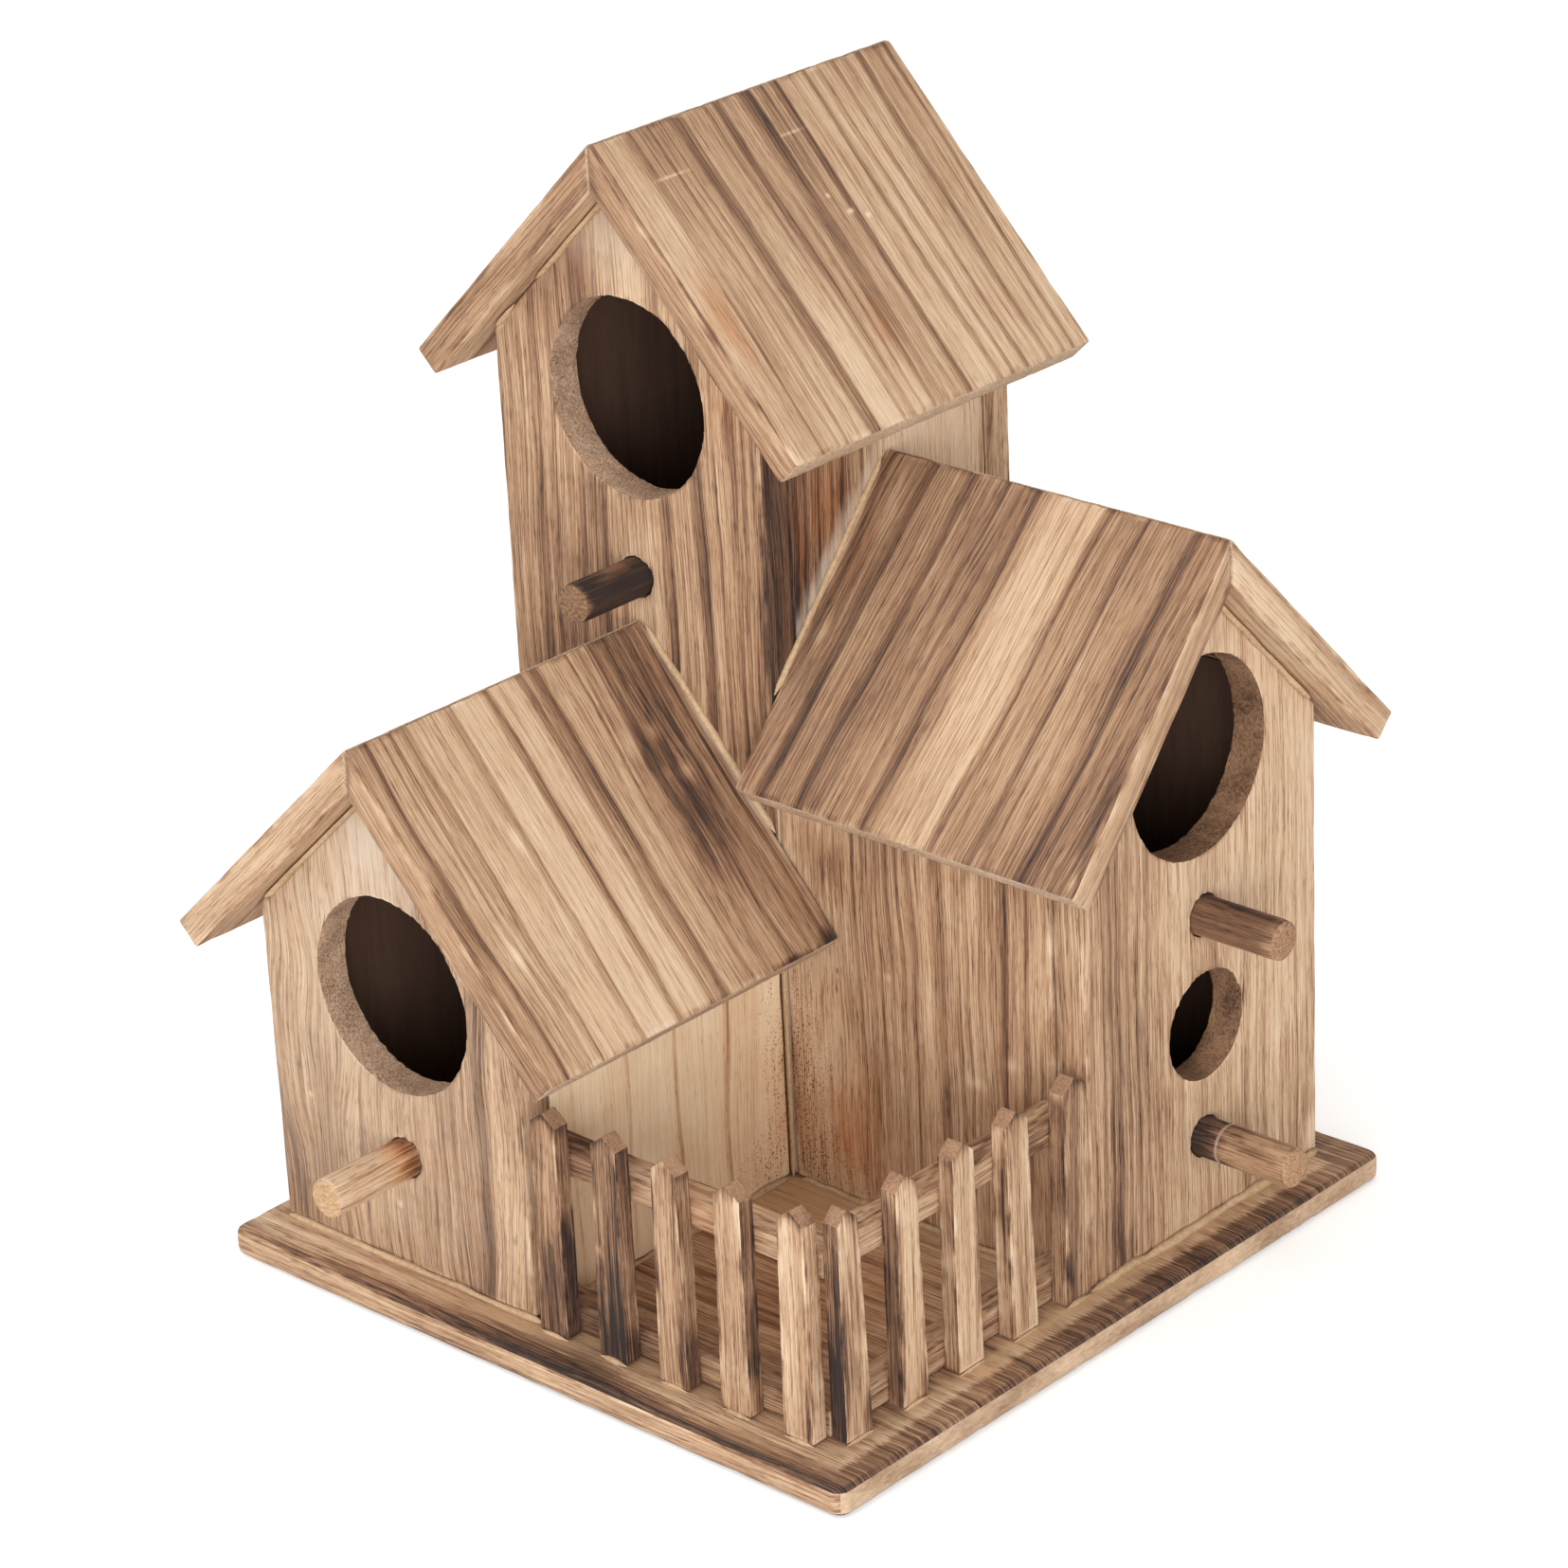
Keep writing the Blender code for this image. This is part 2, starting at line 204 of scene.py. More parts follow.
# %% [markdown]
# ## Floor
# A white sheet under the houses. It keeps their soft shadow, and a little light of its own, seen
# by the camera alone, lifts the rest of it to the white of the photograph. More light would do
# that as well, but it would bleach the wood.

# %% Floor
FLOOR_SIZE = 12.0
FLOOR_LIFT = 0.38

floor_form = bmesh.new()
bmesh.ops.create_grid(floor_form, x_segments=8, y_segments=8, size=FLOOR_SIZE / 2)
floor_mesh = bpy.data.meshes.new("floor")
floor_form.to_mesh(floor_mesh)
floor_form.free()
placed("floor", floor_mesh)
sheet, sheet_tree, sheet_shader = new_material("White paper sheet", 0.9)
fill(sheet_shader, {"Base Color": paint("F4F4F4")})
sheet_seen = add(sheet_tree, "LightPath").outputs["Is Camera Ray"]
sheet_lift = add(sheet_tree, "Emission", {
    "Color": WHITE, "Strength": add(sheet_tree, "Math.MULTIPLY", (sheet_seen, FLOOR_LIFT))})
sheet_sum = add(sheet_tree, "AddShader", (sheet_shader, sheet_lift))
fill(sheet_tree.nodes["Material Output"], {"Surface": sheet_sum})
floor_mesh.materials.append(sheet)
print("Floor of", FLOOR_SIZE, "m")

# %% [markdown]
# ## Torched paulownia
# The eye sees five things on a torched board. Growth rings show as bands 1 to 5 mm wide, soft on
# one flank and sharp on the other, since the torch bites young wood more than old. In them run
# fibres, drawn as bundles half a millimetre wide, since single ones are too fine to show. The
# vessels of the wood show as short dark dashes. Slow clouds tell where the flame stayed longer.
# Last come marks: charred places, orange scorch and pale scuffs. Blender's wave texture could
# draw rings, but they would be all alike. Here the rings of a board are a given list, turned
# into colour ramps across its grain. All the rest is noise stretched along the grain, in
# real millimetres.

# %% Growth rings
FLANKS = ((-0.9, 0.0), (-0.15, 0.8), (0.25, 1.0), (0.6, 0.0))  # of a ring: place, height


def height(shape, place):
    """The height of a broken line, given as (place, height), at a place."""
    for (low, first), (high, second) in zip(shape, shape[1:]):
        if low <= place < high:
            return first + (second - first) * (place - low) / (high - low)
    return shape[-1][1] if place >= shape[-1][0] else shape[0][1]


def rings(levels, lines=(), depth=1.0):
    """Stops (mm, burn at the start, burn at the end of the grain) across a board. levels are
    such stops of the ground tone; lines are rings as (mm, width, burn at start, burn at end),
    and depth scales them all. One burn is given where both are the same."""
    levels = [(*level, level[-1])[:3] for level in levels]
    lines = [(*line, line[-1])[:4] for line in lines]
    places = {level[0] for level in levels}
    for centre, width, _, _ in lines:
        places |= {round(centre + width * flank, 3) for flank, _ in FLANKS}
    stops = []
    for place in sorted(p for p in places if levels[0][0] <= p <= levels[-1][0]):
        burns = []
        for end in (1, 2):
            burn = height([(level[0], level[end]) for level in levels], place)
            for line in lines:
                ring = [(line[0] + line[1] * flank, tall) for flank, tall in FLANKS]
                burn += depth * line[end + 1] * height(ring, place)
            burns.append(max(burn, 0.0))
        stops.append((place, *burns))
    return stops


def plain_rings(first, last, seed, pale=0.2, dark=0.45):
    """Rings for a board that has no special ones."""
    dice = random.Random(seed)
    lines = []
    place = first + dice.uniform(1, 3)
    while place < last - 1:
        deep = dice.random() < 0.3
        burn = (dark - pale) * (dice.uniform(0.7, 1.0) if deep else dice.uniform(0.15, 0.4))
        lines.append((place, dice.uniform(1.6, 3.2) if deep else dice.uniform(0.8, 1.4),
                      burn * dice.uniform(0.6, 1.0), burn * dice.uniform(0.6, 1.0)))
        place += dice.uniform(2.5, 6.0)
    levels = [(first + (last - first) * part / 5, pale + dice.uniform(-0.05, 0.08),
               pale + dice.uniform(-0.05, 0.08)) for part in range(6)]
    return rings(levels, lines)


print("Rings of a plain board 40 mm wide:", len(plain_rings(0, 40, 1)), "stops")

# %% Rings as colour ramps
RAMP_STOPS = 32                 # the most that one colour ramp takes


def ring_ramp(tree, place, share, stops):
    """Read the stops at a place: ramps joined end to end."""
    total = None
    for first in range(0, len(stops) - 1, RAMP_STOPS - 1):
        part = stops[first:first + RAMP_STOPS]
        low, high = part[0][0], part[-1][0]
        where = add(tree, "MapRange", (place, low, high))
        ramp = add(tree, "ValToRGB", {"Fac": where}, stops=[
            ((at - low) / (high - low), (*burns, 0.0, 1.0)) for at, *burns in part])
        if total is None:
            total = ramp
        else:
            gain = add(tree, "VectorMath.SUBTRACT", (ramp, (*part[0][1:], 0.0)))
            total = add(tree, "VectorMath.ADD", (total, gain))
    both = add(tree, "SeparateXYZ", (total,)).outputs
    return add(tree, "Mix", {"Factor": share, "A": both["X"], "B": both["Y"]})


print("A ramp covers", RAMP_STOPS - 1, "steps")

# %% Sizes of the grain
# Each feature: its sizes in mm across, along and through the board, and the part of the noise
# between which it grows from nothing to full
FIBRE = (0.42, 60.0, 2.0), (0.34, 0.66)
THREAD = (0.32, 22.0, 1.5), (0.5, 0.62)
VESSEL = (0.28, 4.2, 1.2), (0.55, 0.67)
SOOT = (0.6, 0.6, 0.6), (0.54, 0.7)
CLOUD = (15.0, 55.0, 15.0), (0.3, 0.7)
RAG = (1.6, 14.0, 40.0), (0.3, 0.7)         # torn outlines of burns and scuffs
WHOLE = (0.0, 1.0)
SWAY = (34.0, 95.0, 34.0), WHOLE            # slow waves of the grain
SWING = 3.0                     # mm that they swing to each side
HAZE = 0.08                     # burn that a cloud gives or takes
PATCH = 0.09                    # pale and scorched places along edges, per mm
ARRIS_REACH = 1.3               # mm of worn edge beside each arris
SOFT = 0.15                     # share of a mark's size in which it fades
TORN = 0.35                     # and by which its outline is torn
FIBRE_BURN = 0.11               # more burn on a charred board's fibres
BARE_FIBRE = 0.07               # and on a bare one's
THREAD_BURN = 0.2
VESSEL_BURN = 0.17
GROOVE = 0.05                   # mm
EDGE_CHAR = 1.3                 # scorched places on arrises, against the paler ones
SEED_STEP = (17.3, 5.1, 9.7)    # from one board's place in the noise to the next
BURNT_TONES = ((0.0, paint("E7D0B6")), (0.2, paint("D9BC9D")), (0.42, paint("B59273")),
               (0.62, paint("8A6850")), (0.8, paint("614839")), (1.0, paint("332A28")))
# Lighter tones at low burn: painted light, for a wall that lies in the shade of the eaves
PAINTED_LIGHT_TONES = ((0.0, paint("FFEBCB")), (0.2, paint("F2D4AE")), (0.42, paint("C3976E")),
              *BURNT_TONES[3:])
STAINS = {                      # mark: its colour, and how it lies on the wood
    "scorch": (paint("E0A566"), "MULTIPLY"), "dust": (paint("DACBB8"), "MIX"),
    "sand": (paint("D3AE87"), "MIX")}
print("Fibres, threads and vessels in mm:", FIBRE[0], THREAD[0], VESSEL[0])

# %% Stretched noise, marks and knots


def stretched(tree, grain, feature, offset, low=0.0, high=1.0, **settings):
    """Noise of a feature's sizes along the grain's own axes, from low to high."""
    sizes, shown = feature
    scaled = add(tree, "VectorMath.MULTIPLY_ADD", (grain, [1.0 / size for size in sizes], offset))
    cloud = add(tree, "TexNoise", {"Vector": scaled, "Scale": 1.0, **settings})
    return add(tree, "MapRange", (cloud, *shown, low, high))


def way_to(tree, straight, centre, wide, long):
    """The way from a centre, and its length, in half sizes of an ellipse in mm."""
    arm = add(tree, "VectorMath.SUBTRACT", (straight, (*centre, 0.0)))
    flat = add(tree, "VectorMath.MULTIPLY", (arm, (1.0 / wide, 1.0 / long, 0.0)))
    return flat, add(tree, "VectorMath.LENGTH", (flat,))


def bent_round(tree, place, straight, knots):
    """Let the grain swerve round knots, each (mm across, mm along, size, swerve in mm)."""
    for u, v, size, swerve in knots:
        flat, reach = way_to(tree, straight, (u, v), size, 2 * size)
        near = add(tree, "MapRange", (reach, 1.0, 0.0), interpolation_type="SMOOTHERSTEP")
        aside = add(tree, "SeparateXYZ", (flat,))
        side = add(tree, "MapRange", (aside, -0.4, 0.4, swerve, -swerve),
                   interpolation_type="SMOOTHSTEP")
        place = add(tree, "Math.MULTIPLY_ADD", (near, side, place))
    return place


print("Waves of the grain in mm:", SWAY[0])

# %% [markdown]
# ## One torched board
# Paulownia is a light, open-grained wood, here sawn, burnt and brushed, and never varnished. To
# the eye it is quite matt, with pale late wood, brown rings and dark brushed-out grooves. All
# boards share the recipe below, and each gets its own rings, marks and place in the noise.

# %% Torched wood


def torched_wood(name, across, along, stops, origin=(0, 0, 0), span=(0.0, 100.0), lean=0.0,
                 sway=1.2, seed=0.0, marks=(), bite=1.0, wear=0.14, warm=0.05, knots=(),
                 margin=None, tones=BURNT_TONES, more=0.0, rim=0.0, through=1.0):
    """Wood whose grain runs along one direction from an origin in mm. marks are (kind, mm
    across, mm along, size across, size along, strength); their kinds are char and soot, which
    darken, pale, scorch, which turns orange, and dust and sand, which lie on top. more adds
    burn to the whole board, rim to its edges, and through makes fibres run deeper."""
    material, tree, shader = new_material(name)
    spot = add(tree, "VectorMath.SUBTRACT", (add(tree, "TexCoord").outputs["Object"],
                                             Vector(origin) * MM))
    mm = [add(tree, "VectorMath.DOT_PRODUCT", (spot, axis / MM))
          for axis in (across, along, across.cross(along))]
    straight = add(tree, "CombineXYZ", mm)
    offset = [seed * step for step in SEED_STEP]

    # The grain bends a little, and may lean across its board
    swing = stretched(tree, straight, SWAY, offset, -SWING * sway, SWING * sway, Detail=2.0)
    leaned = add(tree, "Math.MULTIPLY_ADD", (mm[1], lean, mm[0]))
    place = add(tree, "Math.ADD", (leaned, swing))
    place = bent_round(tree, place, straight, knots)
    grain = add(tree, "CombineXYZ", (place, *mm[1:]))
    share = add(tree, "MapRange", (mm[1], *span))

    # Rings and clouds
    clouds = stretched(tree, grain, CLOUD, offset, more - HAZE, more + HAZE, Detail=3.0)
    burnt = add(tree, "Math.ADD", (ring_ramp(tree, place, share, stops), clouds))
    if margin:
        burnt = margin(tree, straight, burnt, offset)

    # Brushed edges: here paler, there scorched
    near = add(tree, "Attribute", attribute_name="arris").outputs["Fac"]
    edge = add(tree, "MapRange", (near, 0.0, ARRIS_REACH, 1.0, 0.0),
               interpolation_type="SMOOTHSTEP")
    patch = add(tree, "TexNoise", {"Vector": straight, "Scale": PATCH, "Detail": 4.0})
    edge_burn = add(tree, "MapRange", (patch, 0.35, 0.65, rim - wear, rim + EDGE_CHAR * wear))
    burnt = add(tree, "Math.MULTIPLY_ADD", (edge, edge_burn, burnt))

    # Marks
    rag = stretched(tree, grain, RAG, offset, -TORN, TORN, Detail=3.0) if marks else None
    stains = []
    for kind, u, v, wide, long, strength in marks:
        _, reach = way_to(tree, straight, (u, v), wide, long)
        torn = add(tree, "Math.ADD", (rag, reach))
        mark = add(tree, "MapRange", (torn, 1 + SOFT, -SOFT), interpolation_type="SMOOTHSTEP")
        if kind in STAINS:
            stains.append((mark, strength, kind))
            continue
        if kind == "soot":
            specks = stretched(tree, straight, SOOT, offset, Detail=2.0)
            mark = add(tree, "Math.MULTIPLY", (mark, specks))
        burn = -strength if kind == "pale" else strength
        burnt = add(tree, "Math.MULTIPLY_ADD", (mark, burn, burnt))
    burnt = add(tree, "Clamp", (burnt,))

    # Fibres, threads and vessels show more where the wood is burnt
    fine = add(tree, "VectorMath.MULTIPLY", (grain, (1.0, 1.0, 1.0 / through)))
    fibres = stretched(tree, fine, FIBRE, offset, -1.0, 1.0, Detail=3.0, Roughness=0.6)
    threads = stretched(tree, fine, THREAD, offset, Detail=1.0)
    vessels = stretched(tree, fine, VESSEL, offset, Detail=1.0)
    depth = add(tree, "Math.MULTIPLY_ADD", (burnt, FIBRE_BURN * bite, BARE_FIBRE * bite))
    tone = add(tree, "Math.MULTIPLY_ADD", (fibres, depth, burnt))
    for dark, burn in ((threads, THREAD_BURN), (vessels, VESSEL_BURN)):
        tone = add(tree, "Math.MULTIPLY_ADD", (dark, burn * bite, tone))
    color = add(tree, "ValToRGB", (tone,), stops=tones)
    glow = add(tree, "MapRange", (patch, 0.35, 0.7, 0.0, 2 * warm))
    for mark, strength, kind in [(glow, 1.0, "scorch"), *stains]:
        strong = add(tree, "Math.MULTIPLY", (mark, strength))
        stain, blend = STAINS[kind]
        color = add(tree, "Mix", {"Factor": strong, "A": color, "B": stain}, data_type="RGBA",
                    blend_type=blend)

    relief = add(tree, "Math.SUBTRACT", (fibres, threads))
    relief = add(tree, "Math.SUBTRACT", (relief, vessels))
    bump = add(tree, "Bump", {"Height": relief, "Strength": 0.35, "Distance": GROOVE * MM})
    fill(shader, {"Base Color": color, "Normal": bump})
    return material


print("Burn of fibres, threads and vessels:", FIBRE_BURN, THREAD_BURN, VESSEL_BURN)

# %% [markdown]
# ## End grain, bores and painted shade inside
# Where a board is cut across, its fibres end in pores, and the surface looks greyer and speckled.
# The drilled holes are rough in the same way, and the drill tore up fuzz there. The inside of
# each house is painted almost black, as painted shade of the closed rooms. Real pores are one or
# two tenths of a millimetre wide. They are drawn at half a millimetre and more, because finer
# ones would not show.

# %% End grain, bore and inside


def speckled_wood(name, pale, dark, pore, depth, mix=0.62):
    """Wood cut across its fibres, with pores of a size and a depth in mm. mix is their share
    beside patches twelve times as large."""
    material, tree, shader = new_material(name, 0.9)
    spot = add(tree, "TexCoord").outputs["Object"]
    mm = add(tree, "VectorMath.SCALE", {0: spot, "Scale": 1.0 / MM})
    pores = stretched(tree, mm, (pore, WHOLE), (0, 0, 0), Detail=4.0, Roughness=0.75)
    patches = stretched(tree, mm, ([12 * size for size in pore], WHOLE), (5, 5, 5), Detail=3.0)
    both = add(tree, "Mix", {"Factor": 1.0 - mix, "A": pores, "B": patches})
    color = add(tree, "ValToRGB", (both,), stops=((0.34, paint(dark)), (0.6, paint(pale))))
    bump = add(tree, "Bump", {"Height": pores, "Strength": 0.7, "Distance": depth * MM})
    fill(shader, {"Base Color": color, "Normal": bump})
    return material


END_GRAIN = speckled_wood("Paulownia end grain", "DCC3A8", "94765C", (0.8, 0.8, 0.5), 0.25, 0.8)
BORE_WOOD = speckled_wood("Drilled paulownia, fuzzy", "E2BFA0", "74513B", (0.6, 0.6, 0.6), 0.6,
                          0.75)
BURNT_BORE = speckled_wood("Drilled paulownia, scorched", "B58B6A", "3F2A1E", (0.7, 0.7, 0.9),
                           0.6)
# Painted shade: this dark colour on every face inside the houses stands in for the shade of the
# closed rooms
INSIDE_SHADE = speckled_wood("Painted shade inside", "604739", "4E392E", (3.0, 3.0, 30.0), 0.05)
BASE_END = speckled_wood("Base end grain with rings", "DCBFA1", "947258", (0.7, 2.6, 0.9), 0.2,
                         0.38)
PICKET_TIP = speckled_wood("Picket tip, burnt", "B08A6C", "6B4E3C", (0.5, 0.5, 0.9), 0.1)
print("Cut wood:", END_GRAIN.name, BORE_WOOD.name, INSIDE_SHADE.name)

# %% [markdown]
# ## Carving a board
# Each board starts as its CAD solid. Parallel cuts across and along the grain give it a fine net
# of points, closer across the grain because that is where wood changes. Then every point sinks a
# little with the fibres, and the points near an arris sink more, so that edges look handled.
# Each point keeps its distance to the nearest arris, which the wood's colour reads. A bevel and
# a displace modifier could do much of this, but here one rule knows both grain and arris.

# %% Cuts and arrises
WELD = 0.01 * MM
ARRIS_ANGLE = radians(20)
SMOOTH_ANGLE = radians(35)
END_CUTS = (0.5, 1.2, 2.4)      # mm from each end
SUNKEN_FIBRE = (1.3, 22.0, 3.0)  # mm across, along and through
NIBBLE = (5.0, 8.0, 5.0)        # bites in the arrises
FUZZ = 0.3                      # mm of loose fibres in the drilled holes
FUZZ_SIZE = 1.1                 # mm
CUT_END, INSIDE, BORE, SIDE = range(1, 5)  # the slots after the face's own wood
CUT_FACING = 0.55               # cosine from which a face counts as cut across the grain
SIDE_FACING = 0.7               # and as a board's long edge


def cut_places(low, high, step):
    """Where to cut between two ends, in mm: close to each end, then evenly."""
    places = [low + gap for gap in END_CUTS if low + gap < (low + high) / 2]
    places += [high - gap for gap in END_CUTS if high - gap > (low + high) / 2]
    start, end = low + END_CUTS[-1], high - END_CUTS[-1]
    count = int((end - start) / step)
    places += [start + (end - start) * number / count for number in range(1, count)]
    return sorted(places)


def slice_form(form, direction, step):
    """Cut a form with planes square to a direction, without taking anything away."""
    reach = [vert.co.dot(direction) / MM for vert in form.verts]
    rest = list(form.faces)
    for place in cut_places(min(reach), max(reach), step):
        edges = {edge for face in rest for edge in face.edges}
        verts = {vert for face in rest for vert in face.verts}
        result = bmesh.ops.bisect_plane(form, geom=[*rest, *edges, *verts], dist=1e-7,
                                        plane_co=direction * place * MM, plane_no=direction)
        limit = (place + 0.001) * MM
        rest = [item for item in result["geom"] if isinstance(item, bmesh.types.BMFace)
                and any(vert.co.dot(direction) > limit for vert in item.verts)]


def arris_points(form):
    """Points every half millimetre along all sharp edges, as a search tree."""
    points = []
    for edge in form.edges:
        if len(edge.link_faces) == 2 and edge.calc_face_angle() > ARRIS_ANGLE:
            a, b = (vert.co for vert in edge.verts)
            count = max(1, int((b - a).length / (0.5 * MM)))
            points += [a.lerp(b, number / count) for number in range(count + 1)]
    search = kdtree.KDTree(len(points))
    for number, point in enumerate(points):
        search.insert(point, number)
    search.balance()
    return search


print("Cuts of a board 40 mm long:", len(cut_places(0, 40, 5)))

# %% Carve a board


def glued_piece(name, form, materials, node=None):
    """A finished form as a piece of the one body. It may take a CAD board's place."""
    mesh = bpy.data.meshes.new(name)
    form.to_mesh(mesh)
    form.free()
    for material in materials:
        mesh.materials.append(material)
    piece = placed(name, mesh)
    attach(piece, "root")
    if node:
        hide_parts(node)
    return piece


def carve(node, across, along, wood, side_wood=None, end_wood=None, step=0.9,
          long_step=5.0, inner=None, bores=(), relief=0.08, wear=0.35, seed=0.0,
          rounded=False):
    """A finely cut and worn copy of a CAD board. inner tells faces that look into the house,
    and bores are (centre, axis, radius in mm) of its drilled holes. A rounded board keeps its
    face's wood on the rounding."""
    axes = (across, along, across.cross(along))
    form = bmesh.new()
    form.from_mesh(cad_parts[node].data)
    bmesh.ops.remove_doubles(form, verts=form.verts, dist=WELD)
    if not bores:
        bmesh.ops.dissolve_limit(form, angle_limit=radians(0.5), verts=form.verts,
                                 edges=form.edges)
    search = arris_points(form)
    for axis, gap in zip(axes, (step, long_step, 2.0)):
        slice_form(form, axis, gap)
    form.normal_update()
    for face in form.faces:
        centre = face.calc_center_median() / MM
        face.smooth = True
        sides, ends, flat = (abs(face.normal.dot(axis)) for axis in axes)
        if rounded:
            if flat < 0.5:
                face.material_index = SIDE if sides > ends else CUT_END
        elif ends > CUT_FACING:
            face.material_index = CUT_END
        elif side_wood and sides > SIDE_FACING:
            face.material_index = SIDE
        if inner and inner(centre, face.normal):
            face.material_index = INSIDE
        for middle, axis, radius in bores:
            arm = centre - Vector(middle)
            arm -= arm.dot(axis) * axis
            if arm.length < radius + 0.3 and abs(face.normal.dot(axis)) < 0.5:
                face.material_index = BORE
    arris = form.verts.layers.float.new("arris")
    shift = Vector((seed * 3.1, seed * 7.7, seed * 1.3))
    for vert in form.verts:
        near = search.find(vert.co)[2] / MM
        vert[arris] = near
        place = [vert.co.dot(axis) / MM for axis in axes]
        fibre, nibble = (noise.noise(Vector([p / size for p, size in zip(place, sizes)]) + shift)
                         for sizes in (SUNKEN_FIBRE, NIBBLE))
        edge = max(0.0, 1.0 - near / ARRIS_REACH)
        depth = relief * (0.5 + 0.5 * fibre)
        depth += wear * edge * (0.4 + max(0.0, nibble + 0.15) ** 1.5)
        if any(face.material_index == BORE for face in vert.link_faces):
            depth += FUZZ * noise.noise(vert.co / (FUZZ_SIZE * MM) + shift)
        vert.co -= vert.normal * depth * MM
    bore_wood = BURNT_BORE if node.startswith("double") else BORE_WOOD
    woods = (wood, end_wood or END_GRAIN, INSIDE_SHADE, bore_wood, side_wood or wood)
    piece = glued_piece(f"{node}_carved", form, woods, node)
    piece.data.set_sharp_from_angle(angle=SMOOTH_ANGLE)
    print(f"{piece.name}: {len(piece.data.polygons)} faces")
    return piece


# %% [markdown]
# ## Where the houses stand
# Much below is placed from the frame's own boxes: the rooms of the three houses, the ridges of
# their roofs, the pickets, perches and seams. The roof pitches and the holes are typed numbers.
# Typed numbers would do for one build, but the boxes follow the CAD.

# %% Sizes from the frame
X, Y, Z = Vector((1, 0, 0)), Vector((0, 1, 0)), Vector((0, 0, 1))


def box_mm(node):
    """The low and the high corner of a CAD piece, in mm."""
    low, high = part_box(node)
    return low / MM, high / MM


def room_of(house):
    """The reach of a house's room along X and along Y, in mm."""
    left, right = (box_mm(f"{house}_{side}_wall") for side in ("left", "right"))
    if house == "double":
        return (left[0].x, left[1].x), (left[1].y, right[0].y)
    return (left[1].x, right[0].x), (left[0].y, left[1].y)


HOUSES = ("low", "tall", "double")
BASE_TOP = box_mm("base_board")[1].z
for house in HOUSES:
    print(house, "room in mm:", room_of(house))


def looking(direction):
    """Tells faces that look along a direction."""
    return lambda centre, normal: normal.dot(direction) > 0.8


def under_roof(house):
    """Tells faces of a roof board that close a room from above."""
    (x0, x1), (y0, y1) = room_of(house)
    return lambda centre, normal: normal.z < -0.3 and x0 < centre.x < x1 and y0 < centre.y < y1


# %% [markdown]
# ## Roof boards
# The grain runs down each slope, and the ridge and eave ends are cut across it. The three
# boards that face the camera get the rings that the photograph shows, read in millimetres across
# the board, and the marks of the flame. The others get plain growth rings. A roof board's long
# edges show the same rings cut the other way, so they have a wood of their own.

